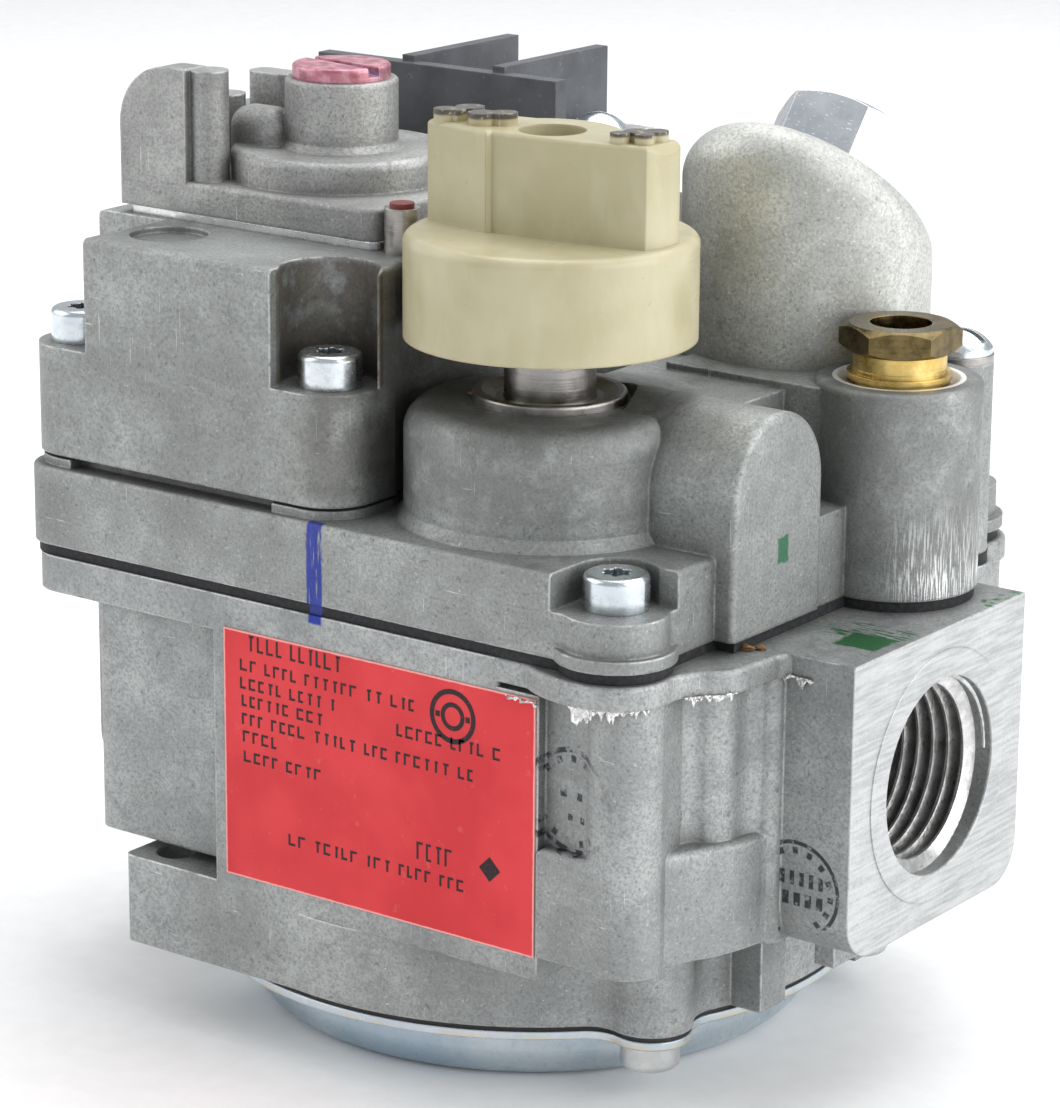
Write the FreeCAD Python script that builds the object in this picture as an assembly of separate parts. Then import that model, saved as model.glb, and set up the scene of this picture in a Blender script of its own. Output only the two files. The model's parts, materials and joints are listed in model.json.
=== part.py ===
import FreeCAD, Part
import math
import os
from FreeCAD import Vector

os.makedirs("parts", exist_ok=True)

# Combination gas valve for a millivolt heating system, millimetres.
# Origin: centre of the inlet port's mouth. +X out of the inlet, +Y to the back, +Z up.

# Pipe ports, 1/2-14 NPT female
PORT_SPAN = 101.6
PORT_BORE_R = 10.55
PORT_DEPTH = 17.0
SPOT_FACE_R = 13.45
SPOT_FACE_RISE = 0.15
PASSAGE_R = 7.2

# Stack of castings, heights
LOWER_BOTTOM = -26.0
LUG_TOP = -16.1
BAND_BOTTOM = -13.2
BAND_TOP = -3.0
FLANGE_BOTTOM = 11.8
LIP_BOTTOM = 13.4
SPLIT_Z = 15.8
GASKET_T = 1.2
PLATE_Z = SPLIT_Z + GASKET_T
PLATE_TOP = 25.6
PAD_TOP = 26.5
HOUSING_RIGHT = -51.0
HOUSING_Z = 26.9
HOUSING_LEDGE = 38.7
HOUSING_TOP = 51.0
COVER_Z = 51.9
COVER_FLANGE_TOP = 55.3

# Plan of the castings
HALF_DEPTH = 36.0
PLATE_LEFT = -94.8
PLATE_RIGHT = -14.3
WALL_LEFT = -87.1
WALL_Y = 33.0
PAD_LEFT = -67.3
PAD_RIGHT = -25.0
BLOCK_FRONT = -17.0
BLOCK_BACK = 16.5
BLOCK_HALF_H = 15.8
CORNER = (-18.9, 31.6)
CORNER_SCREW = (-19.5, -30.7)
COLUMN = (-12.8, 22.9)
COLUMN_TOP = 37.9

# Main valve and its diaphragm
MAIN_X = -52.0
LOWER_R = 36.3
PAN_R = 31.5
PAN_BOTTOM = -34.2
PAN_T = 0.9
DIAPHRAGM_T = 0.6
SEAT_R = 7.0
SEAT_Z = -3.0
MAIN_LIFT = 2.5
LOBE_ANGLES = (-34.0, 34.0, 180.0)
LOBE_DISTANCE = 36.7
LOBE_R = 4.5

# Gas cock and knob
COCK = (-37.1, -17.94)
TURRET_R = 15.0
TURRET_TOP = 37.8
STEM_R = 4.74
STEM_HOLE_R = 4.80
COCK_BORE_R = 9.35
COCK_PLUG_R = 9.30
SKIRT_R = 15.06
SKIRT_Z = 44.4
SKIRT_TOP = 55.2
HANDLE_TOP = 65.5
KNOB_TRAVEL = 4.0

# Power unit in its slanted dome
DOME = (-29.65, 18.4)
DOME_R = 13.5
DOME_FACE_Z = 56.56
UNIT_TILT = math.radians(39.0)
UNIT_AXIS = Vector(0, math.sin(UNIT_TILT), math.cos(UNIT_TILT))
UNIT_Y = 21.2
UNIT_FACE = Vector(DOME[0], UNIT_Y, DOME_FACE_Z - math.tan(UNIT_TILT) * (UNIT_Y - DOME[1]))
UNIT_BORE_R = 6.3
RISER = (-29.65, 9.8)

# Pilot outlet
PILOT = (-11.8, 8.8)
PILOT_R = 8.85
PILOT_TOP = 38.9
PILOT_THREAD_R = 5.5
PILOT_TUBE_R = 3.25
NUT_FLATS = 11.1

# Regulator
TOWER = (-72.5, -7.8)
TOWER_R = 6.1
TOWER_TOP = 66.0
STEP_R = 12.0
STEP_TOP = 58.6
COVER_LEFT = -92.2
COVER_RIGHT = -57.1
COVER_FRONT = -21.4
COVER_BACK = 9.0

# Front right corner of the lower casting as (through, end) steps; None goes straight to the end.
# The back corner mirrors it.
FLANGE_EDGE = ((None, (-26.5, -36.0)), ((-22.8, -37.7), (-18.6, -38.1)), ((-14.1, -36.2), (-12.5, -31.6)),
               ((-12.2, -28.9), (-11.0, -27.2)), ((-9.4, -25.4), (-8.9, -22.5)), (None, (-8.5, -18.8)),
               ((-8.2, -17.5), (-7.0, -16.8)))
WALL_EDGE = ((None, (-22.6, -34.7)), ((-20.9, -34.85), (-19.5, -35.3)), ((-15.9, -36.1), (-12.8, -31.9)),
             ((-13.6, -29.2), (-14.1, -26.7)), ((-13.6, -25.4), (-12.6, -24.7)),
             ((-11.3, -23.4), (-10.9, -21.5)), ((-10.6, -19.8), (-9.8, -18.7)),
             ((-8.8, -18.1), (-8.3, -16.8)))
BAND_EDGE = ((None, (-20.0, -36.2)), ((-15.9, -35.0), (-13.8, -31.5)), (None, (-11.2, -26.0)),
             ((-9.9, -22.5), (-9.3, -19.0)), (None, (-8.6, -16.8)))

SCREW_HEAD_R = 3.35
SCREW_HEAD_H = 3.6
SCREW_SHANK_R = 1.9


def box(x0, x1, y0, y1, z0, z1):
    return Part.makeBox(x1 - x0, y1 - y0, z1 - z0, Vector(x0, y0, z0))


def rod(centre, z0, z1, radius):
    return Part.makeCylinder(radius, z1 - z0, Vector(centre[0], centre[1], z0))


def rod_x(x0, x1, y, z, radius):
    return Part.makeCylinder(radius, x1 - x0, Vector(x0, y, z), Vector(1, 0, 0))


def rod_y(x, y0, y1, z, radius):
    return Part.makeCylinder(radius, y1 - y0, Vector(x, y0, z), Vector(0, 1, 0))


def cone(centre, z0, z1, r0, r1):
    return Part.makeCone(r0, r1, z1 - z0, Vector(centre[0], centre[1], z0))


def tube(centre, z0, z1, outer, inner):
    return rod(centre, z0, z1, outer).cut(rod(centre, z0 - 1, z1 + 1, inner))


def along_unit(start, end, radius):
    """Cylinder on the power unit's axis, from depth start to depth end below the slanted face."""
    base = UNIT_FACE - UNIT_AXIS * end
    return Part.makeCylinder(radius, end - start, base, UNIT_AXIS)


def joined(solids):
    return solids[0].fuse(solids[1:]).removeSplitter()


def drilled(solid, tools):
    return solid.cut(Part.makeCompound(tools))


def fillet_at(solid, radius, test):
    edges = [edge for edge in solid.Edges if test(edge)]
    return solid.makeFillet(radius, edges)


def level_at(height):
    """Test for edges that lie flat at one height."""
    def test(edge):
        low = edge.BoundBox.ZMin
        high = edge.BoundBox.ZMax
        return abs(low - height) < 0.01 and abs(high - height) < 0.01
    return test


def rounded_block(x0, x1, y0, y1, z0, z1, corners, top=0):
    """Block with its four upright edges rounded, front-left first and anticlockwise."""
    places = [(x0, y0), (x1, y0), (x1, y1), (x0, y1)]
    headings = [(1, 0), (0, 1), (-1, 0), (0, -1)]
    starts = []
    for i in range(4):
        x, y = places[i]
        back = headings[i - 1]
        ahead = headings[i]
        r = corners[i]
        enter = Vector(x - back[0] * r, y - back[1] * r, z0)
        leave = Vector(x + ahead[0] * r, y + ahead[1] * r, z0)
        inset = r * (1 - math.sqrt(0.5))
        middle = Vector(x + (ahead[0] - back[0]) * inset, y + (ahead[1] - back[1]) * inset, z0)
        starts.append((enter, middle, leave))
    edges = []
    for i in range(4):
        enter, middle, leave = starts[i]
        edges.append(Part.Arc(enter, middle, leave).toShape())
        edges.append(Part.LineSegment(leave, starts[(i + 1) % 4][0]).toShape())
    solid = Part.Face(Part.Wire(edges)).extrude(Vector(0, 0, z1 - z0))
    if top:
        solid = fillet_at(solid, top, level_at(z1))
    return solid


def hexagon(centre, z0, z1, flats, turn=0.0):
    radius = flats / math.sqrt(3)
    corners = []
    for i in range(6):
        angle = math.radians(60 * i + turn)
        corners.append(Vector(centre[0] + radius * math.cos(angle), centre[1] + radius * math.sin(angle), z0))
    blank = Part.Face(Part.makePolygon(corners + corners[:1])).extrude(Vector(0, 0, z1 - z0))
    return blank


def chamfered_hexagon(centre, z0, z1, flats, turn=0.0, both=True):
    """Hexagon whose corners are turned down at 30 degrees on its top face, or on both faces."""
    corner_r = flats / math.sqrt(3)
    slope = 0.58
    inner = flats / 2 * 0.96
    drop = (corner_r + 1 - inner) * slope
    keep = [rod(centre, z0 + drop if both else z0, z1 - drop, corner_r + 1)]
    keep.append(cone(centre, z1 - drop, z1, corner_r + 1, inner))
    if both:
        keep.append(cone(centre, z0, z0 + drop, inner, corner_r + 1))
    return hexagon(centre, z0, z1, flats, turn).common(joined(keep))


def helix_spring(centre, z0, z1, coil_r, wire_r, turns):
    """Round-wire compression spring that stands between two heights."""
    height = z1 - z0 - 2 * wire_r
    path = Part.makeHelix(height / turns, height, coil_r)
    profile = Part.Wire(Part.makeCircle(wire_r, Vector(coil_r, 0, 0), Vector(0, 1, 0)))
    coil = Part.Wire(path.Edges).makePipeShell([profile], True, True)
    coil.translate(Vector(centre[0], centre[1], z0 + wire_r))
    return coil


def polar(distance, degrees, centre):
    angle = math.radians(degrees)
    return (centre[0] + distance * math.cos(angle), centre[1] + distance * math.sin(angle))


def lobe_places():
    return [polar(LOBE_DISTANCE, angle, (MAIN_X, 0)) for angle in LOBE_ANGLES]


def cheese_screw(centre, seat, depth, head_r=SCREW_HEAD_R, head_h=SCREW_HEAD_H, shank_r=SCREW_SHANK_R):
    """Cheese-head screw with a six-lobe socket, its head on the seat and its shank below."""
    head = fillet_at(rod(centre, seat, seat + head_h, head_r), 0.6, level_at(seat + head_h))
    shank = rod(centre, seat - depth, seat + 0.1, shank_r)
    socket = [rod(centre, seat + head_h - 1.6, seat + head_h + 1, head_r * 0.36)]
    for i in range(6):
        lobe = polar(head_r * 0.36, 60 * i, centre)
        socket.append(rod(lobe, seat + head_h - 1.6, seat + head_h + 1, head_r * 0.12))
    return drilled(head.fuse(shank), socket)


def port(side):
    """Solid to remove for one pipe port; side is 0 for the inlet and 1 for the outlet."""
    mouth = 0.0 if side == 0 else -PORT_SPAN
    inward = -1 if side == 0 else 1
    span = sorted((mouth - inward * 1.0, mouth + inward * PORT_DEPTH))
    return rod_x(span[0], span[1], 0, 0, PORT_BORE_R)


def port_block(side):
    """Square pipe boss with a raised spot face round the mouth."""
    mouth = 0.0 if side == 0 else -PORT_SPAN
    inward = -1 if side == 0 else 1
    y0, y1 = (BLOCK_FRONT, BLOCK_BACK) if side == 0 else (-BLOCK_BACK, -BLOCK_FRONT)
    face = mouth + inward * SPOT_FACE_RISE
    inner = mouth + inward * 30.0
    x0, x1 = sorted((face, inner))
    block = box(x0, x1, y0, y1, -BLOCK_HALF_H, BLOCK_HALF_H)

    def lower_long_edge(edge):
        spans_x = edge.BoundBox.XLength > 20
        return spans_x and edge.BoundBox.ZMax < -BLOCK_HALF_H + 0.1
    block = fillet_at(block, 4.5, lower_long_edge)
    spot_x0, spot_x1 = sorted((mouth, mouth + inward * 1.0))
    return block.fuse(rod_x(spot_x0, spot_x1, 0, 0, SPOT_FACE_R))


def corner_sheet(side, x_start, z0, z1, steps):
    """Flat piece that follows the corner from the long wall round to the inlet block."""
    first = Vector(x_start, steps[0][1][1], z0)
    here = first
    edges = []
    for through, end in steps:
        there = Vector(end[0], end[1], z0)
        if through is None:
            edges.append(Part.LineSegment(here, there).toShape())
        else:
            edges.append(Part.Arc(here, Vector(through[0], through[1], z0), there).toShape())
        here = there
    for point in (Vector(here.x, -10, z0), Vector(x_start, -10, z0), first):
        edges.append(Part.LineSegment(here, point).toShape())
        here = point
    solid = Part.Face(Part.Wire(edges)).extrude(Vector(0, 0, z1 - z0))
    if side > 0:
        solid = solid.mirror(Vector(0, 0, 0), Vector(0, 1, 0))
    return solid


def valve_body():
    """Lower casting with both ports, the label pad, the lugs and the diaphragm rim."""
    flange = rounded_block(PLATE_LEFT + 0.8, -30, -HALF_DEPTH, HALF_DEPTH, FLANGE_BOTTOM, SPLIT_Z,
                           (4.2, 0.5, 0.5, 4.2))
    bridge = box(-32, PLATE_RIGHT + 1.1, -25, 25, FLANGE_BOTTOM, SPLIT_Z)
    left_wall = rounded_block(WALL_LEFT, -45, -WALL_Y, WALL_Y, -15.0, FLANGE_BOTTOM + 1, (2, 0.5, 0.5, 2))
    core = rounded_block(-60, PLATE_RIGHT - 3, -WALL_Y, WALL_Y, BAND_BOTTOM - 1, FLANGE_BOTTOM + 1,
                         (1, 9, 9, 1))
    ribs = [box(-20, -13.8, -11.6, -6.9, LOWER_BOTTOM, -14), box(-9.6, -7.2, -8, -3, -20.5, -15)]
    pad = box(PAD_LEFT, PAD_RIGHT, -HALF_DEPTH, HALF_DEPTH, -17.3, FLANGE_BOTTOM + 1)
    solids = [flange, bridge, left_wall, core, pad, port_block(0), port_block(1)]
    for side in (-1, 1):
        lip = corner_sheet(side, -32, LIP_BOTTOM, SPLIT_Z, FLANGE_EDGE)
        solids.append(fillet_at(lip, 0.5, level_at(SPLIT_Z)))
        solids.append(corner_sheet(side, -40, BAND_BOTTOM - 1.8, LIP_BOTTOM + 0.5, WALL_EDGE))
        band = corner_sheet(side, PAD_RIGHT, BAND_BOTTOM - 1.5, BAND_TOP, BAND_EDGE)
        solids.append(fillet_at(band, 0.9, level_at(BAND_TOP)))
    for rib in ribs:
        solids += [rib, rib.mirror(Vector(0, 0, 0), Vector(0, 1, 0))]
    solids.append(diaphragm_rim(LOWER_BOTTOM, -17.3, 0.0))
    solids.append(rod((MAIN_X, 0), -17.4, BAND_BOTTOM + 1, LOWER_R - 0.4))
    solids.append(rounded_block(-80.5, MAIN_X, -HALF_DEPTH, HALF_DEPTH, LOWER_BOTTOM, LUG_TOP,
                                (1, 0.5, 0.5, 1)))
    for place in lobe_places():
        solids.append(rod(place, -20, BAND_BOTTOM, LOBE_R))
    solids.append(box(-92, -78, -7, 7, LOWER_BOTTOM, -12))
    solids.append(rod(COLUMN, 4, SPLIT_Z, 4.0))
    solids.append(box(-18, COLUMN[0] + 2, 14, COLUMN[1], 4, SPLIT_Z))
    casting = joined(solids)
    hollows = [port(0), port(1)]
    hollows.append(rod_x(-33.0, -PORT_DEPTH + 1, 0, 0, PASSAGE_R))
    hollows.append(rod_x(-PORT_SPAN + PORT_DEPTH - 1, -70.0, 0, 0, PASSAGE_R))
    hollows.append(rod((-75.0, 0), -20, 0, 5.0))
    hollows.append(rod((MAIN_X, 0), LOWER_BOTTOM - 1, -17.0, 26.0))
    hollows.append(rod((MAIN_X, 0), -18, SEAT_Z + 1, SEAT_R))
    hollows.append(tube((MAIN_X, 0), SEAT_Z - 1.2, SEAT_Z + 1, 12.5, SEAT_R + 1.6))
    hollows.append(rod((MAIN_X, 0), SEAT_Z, SPLIT_Z + 1, 12.5))
    hollows.append(box(-48, -38, -16, -6, 4, SPLIT_Z + 1))
    hollows.append(rod(RISER, 3, SPLIT_Z + 1, 4.0))
    hollows.append(rod_y(RISER[0], 0, RISER[1], 3, 4.0))
    for side in (-1, 1):
        hollows.append(rod((-76.3, side * 32.3), LOWER_BOTTOM - 1, LUG_TOP + 1, 2.1))
    for place in lobe_places():
        hollows.append(rod(place, LOWER_BOTTOM - 1, LOWER_BOTTOM + 8.0, SCREW_SHANK_R))
    for place in casting_screw_places():
        hollows.append(rod(place, SPLIT_Z - 8.0, SPLIT_Z + 1, SCREW_SHANK_R))
    return drilled(casting, hollows)


def corner_screw_places():
    """Screws in the open pockets at the right-hand corners."""
    return [(CORNER_SCREW[0], side * CORNER_SCREW[1]) for side in (1, -1)]


def casting_screw_places():
    """Screws that hold the top casting down, the last one in the rear column."""
    return corner_screw_places() + [(-45.0, 31.0), COLUMN]


def housing_screw_places():
    return [(-56.0, -30.2), (-90.2, -30.2), (-56.0, 28.2), (-90.2, 28.2)]


def gasket_outline(z0, z1, grow):
    """Plan of the joint between the two castings."""
    plan = rounded_block(PLATE_LEFT - grow, PLATE_RIGHT + grow, -HALF_DEPTH - grow, HALF_DEPTH + grow,
                         z0, z1, (4.2, 5.5, 5.5, 4.2))
    boss = rod(PILOT, z0, z1, PILOT_R + grow)
    arch = box(-30, -12.4, -20.3, 12.0, z0, z1)
    ear = rod(COLUMN, z0, z1, 4.0 + grow)
    bridge = box(-18, COLUMN[0] + 2, 12, COLUMN[1], z0, z1)
    corners = [rod((CORNER[0], side * CORNER[1]), z0, z1, 6.0 + grow) for side in (-1, 1)]
    return joined([plan, boss, arch, ear, bridge] + corners)


def flow_openings(z0, z1):
    """Openings in the joint face: inlet riser, main chamber and the cock's outlet."""
    riser = rod(RISER, z0, z1, 4.0)
    chamber = rod((MAIN_X, 0), z0, z1, 8.0)
    cock = box(-46, -40, -16, -7, z0, z1)
    return [riser, chamber, cock]


def body_gasket():
    holes = flow_openings(SPLIT_Z - 1, PLATE_Z + 1)
    for place in casting_screw_places():
        holes.append(rod(place, SPLIT_Z - 1, PLATE_Z + 1, SCREW_SHANK_R + 0.1))
    return drilled(gasket_outline(SPLIT_Z, PLATE_Z, -0.3), holes)


def dome():
    """Upright round blank on the plate, cut by a slanted face, with a soft rim."""
    blank = rod(DOME, PLATE_TOP, 75, DOME_R)
    reach = 20.0
    low = DOME_FACE_Z - math.tan(UNIT_TILT) * reach
    high = DOME_FACE_Z + math.tan(UNIT_TILT) * reach
    points = [(DOME[1] - reach, high), (DOME[1] + reach, low), (DOME[1] + reach, 80), (DOME[1] - reach, 80)]
    corners = [Vector(DOME[0] - reach, y, z) for y, z in points]
    cutter = Part.Face(Part.makePolygon(corners + corners[:1])).extrude(Vector(2 * reach, 0, 0))
    body = blank.cut(cutter)

    def slanted_rim(edge):
        return edge.BoundBox.ZLength > 10 and edge.BoundBox.XLength > 10 and edge.BoundBox.ZMin > 40
    return fillet_at(body, 3.75, slanted_rim)


def arch_passage():
    """Arch-ended boss that carries gas from the turret to the side."""
    half = 8.05
    middle = -13.1
    wall = box(COCK[0], -12.0, middle - half, middle + half, PLATE_Z, 31.1)
    crown = rod_x(COCK[0], -12.0, middle, 31.1, half)

    def end_rim(edge):
        return edge.BoundBox.XMin > -12.1 and edge.BoundBox.ZMax > 18
    arch = fillet_at(joined([wall, crown]), 0.7, end_rim)
    return arch.cut(rod(COCK, TURRET_TOP, 45, 8.9))


def top_casting():
    """Upper casting: plate, cock turret, arch passage and pilot boss, cut back round the power-unit dome."""
    plate = rounded_block(PLATE_LEFT, PLATE_RIGHT, -HALF_DEPTH, HALF_DEPTH, PLATE_Z, PLATE_TOP,
                          (4.2, 5.5, 5.5, 4.2), 0.5)
    turret = fillet_at(rod(COCK, PLATE_Z, TURRET_TOP, TURRET_R), 3.0, level_at(TURRET_TOP))
    foot = cone(COCK, PLATE_TOP - 0.2, PLATE_TOP + 1.2, TURRET_R + 0.9, TURRET_R)
    boss = fillet_at(rod(PILOT, PLATE_Z, PILOT_TOP, PILOT_R), 0.8, level_at(PILOT_TOP))
    web = box(-36, PILOT[0], 1.4, 16, PLATE_Z, PILOT_TOP - 0.7)
    saddle = box(-40, -21.2, -14, 8, PLATE_Z, TURRET_TOP - 0.4)
    side_block = box(-26, -12.4, -6.0, 3.0, PLATE_Z, 26.6)
    column = rod(COLUMN, PLATE_Z, COLUMN_TOP, 3.6)
    bridge = box(-18, COLUMN[0] + 2.6, 12, COLUMN[1], PLATE_Z, COLUMN_TOP - 0.5)
    solids = [plate, turret, foot, boss, web, saddle, side_block, arch_passage(), column, bridge]
    for side in (-1, 1):
        place = (CORNER[0], side * CORNER[1])
        solids.append(rod(place, PLATE_Z, PLATE_Z + 1.3, 6.2))
        solids.append(fillet_at(rod(place, PLATE_Z, PLATE_TOP, 5.4), 0.5, level_at(PLATE_TOP)))
    solids.append(housing_pad(PLATE_TOP - 0.5, PAD_TOP, 0.2))
    casting = joined(solids).cut(dome())
    hollows = corner_pockets() + cock_hollows() + dome_hollows() + pilot_hollows()
    hollows.append(rod((MAIN_X, 0), PLATE_Z - 1, 22.5, 8.0))
    for place in casting_screw_places():
        hollows.append(rod(place, PLATE_Z - 1, 41, SCREW_SHANK_R + 0.15))
    for place in housing_screw_places():
        hollows.append(rod(place, PLATE_Z + 1.5, PAD_TOP + 1, SCREW_SHANK_R))
    return drilled(casting, hollows)


def power_unit_housing():
    """Slanted dome that holds the power unit."""
    return drilled(dome(), dome_hollows())


def corner_pockets():
    """Open pockets round the right-hand screws."""
    floor = 21.8
    pockets = []
    for x, y in corner_screw_places():
        outward = -1 if y < 0 else 1
        pocket = rod((x, y), floor, 26.4, 4.3)
        ys = sorted((y, y + outward * 12))
        front = box(x - 4.3, PLATE_RIGHT + 6, ys[0], ys[1], floor, 26.4)
        ys = sorted((y + outward, y - outward * 3.2))
        side = box(x, PLATE_RIGHT + 6, ys[0], ys[1], floor, 26.4)
        pockets.append(joined([pocket, front, side]))
    return pockets


def cock_hollows():
    bore = rod(COCK, PLATE_Z - 1, 33.2, COCK_BORE_R)
    stem_hole = rod(COCK, 32, TURRET_TOP + 1, STEM_HOLE_R)
    groove = rod(COCK, 34.4, 36.2, 6.55)
    gallery = box(-35.0, -31.0, -14, 20.0, PLATE_Z - 1, 22.0)
    return [bore, stem_hole, groove, gallery]


def dome_hollows():
    chamber = along_unit(-6, 12, UNIT_BORE_R)
    seat = along_unit(11, 17, 4.0)
    riser = rod(RISER, PLATE_Z - 1, 43, 3.5)
    down = rod((DOME[0] - 3.0, 19.0), PLATE_Z - 1, 45, 2.6)
    return [chamber, seat, riser, down]


def pilot_hollows():
    thread = rod(PILOT, 33.1, PILOT_TOP + 1, PILOT_THREAD_R + 0.05)
    seat = cone(PILOT, 30.6, 33.15, 4.05, 5.07)
    well = rod(PILOT, 27.0, 30.7, 4.05)
    mouth = cone(PILOT, PILOT_TOP - 0.9, PILOT_TOP + 0.1, PILOT_THREAD_R, 6.5)
    feed = rod(PILOT, 20.5, 28, 2.0)
    cross = rod_x(-32.0, PILOT[0], PILOT[1] + 3.0, 22.5, 1.5)
    link = rod_y(PILOT[0], PILOT[1], PILOT[1] + 3.0, 22.5, 1.5)
    return [thread, mouth, seat, well, feed, cross, link]


def shaft_collar():
    """Dished ring pressed round the stem on top of the turret."""
    ring = tube(COCK, TURRET_TOP, TURRET_TOP + 1.1, 7.97, STEM_HOLE_R)

    def outer_rim(edge):
        return edge.BoundBox.XLength > 15.5 and edge.BoundBox.ZMin > TURRET_TOP + 1
    ring = fillet_at(ring, 0.4, outer_rim)
    dish = cone(COCK, TURRET_TOP + 0.4, TURRET_TOP + 1.2, STEM_HOLE_R + 0.8, 7.2)
    return ring.cut(dish)


def shaft_o_ring():
    """Rubber ring in the groove of the turret's roof."""
    return Part.makeTorus(5.68, 0.86, Vector(COCK[0], COCK[1], 35.3))


def gas_cock_plug():
    """Turning plug with a side port and a bottom outlet."""
    plug = rod(COCK, PLATE_Z + 0.35, 25.4, COCK_PLUG_R)
    bottom = rod(COCK, PLATE_Z - 1, 22.4, 6.0)
    side = box(COCK[0] - 2.0, COCK[0] + 12, COCK[1] - 2.0, COCK[1] + 2.0, PLATE_Z - 1, 21.8)
    socket = rod(COCK, 20.0, 31, STEM_R + 0.06)
    return drilled(plug, [bottom, side, socket])


def knob_shaft():
    """Stem from the knob down into the plug, with a spring shoulder."""
    stem = rod(COCK, 21.6, 54.6, STEM_R)
    shoulder = rod(COCK, 31.9, 32.8, 7.6)
    tip = rod(COCK, 54.6, 62.0, 3.2)
    flat = box(COCK[0] - 6, COCK[0] + 6, COCK[1] + 2.2, COCK[1] + 6, 54.6, 63)
    return joined([stem, shoulder, tip]).cut(flat)


def knob_return_spring():
    """Spring inside the turret that lifts the knob and seats the plug."""
    return helix_spring(COCK, 25.45, 31.85, 6.3, 0.4, 2.5)


def handle_plan(z0, z1):
    """Grip of the knob: left block, gently hollowed front wall and right fin."""
    cx, cy = COCK

    def at(x, y):
        return Vector(cx + x, cy + y, z0)
    edges = [Part.LineSegment(at(-13.6, -2.9), at(-4.6, -5.0)).toShape()]
    edges.append(Part.LineSegment(at(-4.6, -5.0), at(-4.4, -4.3)).toShape())
    edges.append(Part.Arc(at(-4.4, -4.3), at(4.0, -3.7), at(13.1, -2.3)).toShape())
    edges.append(Part.Arc(at(13.1, -2.3), at(13.8, 0.5), at(13.4, 3.2)).toShape())
    edges.append(Part.LineSegment(at(13.4, 3.2), at(5.0, 5.2)).toShape())
    edges.append(Part.Arc(at(5.0, 5.2), at(0.0, 7.0), at(-5.5, 5.0)).toShape())
    edges.append(Part.LineSegment(at(-5.5, 5.0), at(-13.0, 3.8)).toShape())
    edges.append(Part.Arc(at(-13.0, 3.8), at(-14.0, 0.4), at(-13.6, -2.9)).toShape())
    return Part.Face(Part.Wire(edges)).extrude(Vector(0, 0, z1 - z0))


def control_knob():
    """Cream knob: hollow skirt, grip with raised position pads and an open centre."""
    skirt = fillet_at(rod(COCK, SKIRT_Z, SKIRT_TOP, SKIRT_R), 1.0, level_at(SKIRT_TOP))
    skirt = skirt.cut(rod(COCK, SKIRT_Z - 1, SKIRT_TOP - 2.4, 13.4))
    hub = rod(COCK, 47.0, SKIRT_TOP, 7.4)
    grip = fillet_at(handle_plan(SKIRT_TOP - 0.5, HANDLE_TOP), 0.5, level_at(HANDLE_TOP))
    cx, cy = COCK
    knob = joined([skirt, hub, grip] + knob_pads())
    end_chamfer = Part.makeBox(6, 40, 4, Vector(cx + 12.9, cy - 20, HANDLE_TOP))
    end_chamfer.rotate(Vector(cx + 12.9, cy, HANDLE_TOP), Vector(0, 1, 0), 52)
    socket = [rod(COCK, 46.0, 54.7, STEM_R + 0.05)]
    socket.append(rod(COCK, 54.6, 62.1, 3.25))
    socket.append(rod(COCK, 62.0, HANDLE_TOP + 2, 3.45))
    return drilled(knob, socket + [end_chamfer])


def knob_pads():
    """Raised position marks at both ends of the grip."""
    cx, cy = COCK
    pads = []
    for x, y, r in ((-11.9, -2.0, 1.3), (-10.7, 0.4, 1.5), (-7.6, -1.6, 1.5), (-5.9, -0.2, 1.4)):
        pads.append(rod((cx + x, cy + y), HANDLE_TOP - 0.5, HANDLE_TOP + 1.2, r))
    pads.append(box(cx - 11.9, cx - 10.0, cy - 2.6, cy - 0.2, HANDLE_TOP - 0.5, HANDLE_TOP + 1.2))
    pads.append(box(cx - 8.6, cx - 5.4, cy - 1.8, cy - 0.2, HANDLE_TOP - 0.5, HANDLE_TOP + 1.2))
    for x, y, r in ((9.4, -1.6, 1.0), (9.9, 0.5, 1.1), (11.7, -0.7, 1.0), (11.6, 1.6, 1.2)):
        pads.append(rod((cx + x, cy + y), HANDLE_TOP - 0.5, HANDLE_TOP + 1.0, r))
    pads.append(box(cx + 8.9, cx + 12.2, cy - 0.9, cy + 0.8, HANDLE_TOP - 0.5, HANDLE_TOP + 1.0))
    return pads


def power_unit_nut():
    """Zinc-plated retaining nut on the dome's slanted face."""
    hexa = chamfered_hexagon((0, 0), 0, 8.4, 14.4, 12.0, False)
    neck = rod((0, 0), -5.0, 0.2, UNIT_BORE_R - 0.05)
    nut = joined([hexa, neck])
    nut = drilled(nut, [rod((0, 0), -6, 1.0, 4.4), rod((0, 0), 7.6, 12, 3.6), rod((4.9, 0), 7.9, 12, 0.8)])
    return on_unit_axis(nut)


def on_unit_axis(solid):
    """Stand a solid drawn about Z on the slanted face, +Z along the unit's axis."""
    solid.rotate(Vector(0, 0, 0), Vector(1, 0, 0), -math.degrees(math.atan2(UNIT_AXIS.y, UNIT_AXIS.z)))
    solid.translate(UNIT_FACE)
    return solid


def power_unit_magnet():
    body = rod((0, 0), -8.0, 0.6, 4.3)
    pole = rod((0, 0), -8.2, -7.9, 3.0)
    return on_unit_axis(body.fuse(pole))


def safety_valve_disc():
    """Rubber-faced disc with the keeper that the magnet holds."""
    disc = rod((0, 0), -12.0, -11.0, 5.2)
    stem = rod((0, 0), -11.1, -10.3, 1.2)
    keeper = rod((0, 0), -10.4, -9.8, 3.2)
    return on_unit_axis(joined([disc, stem, keeper]))


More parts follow.
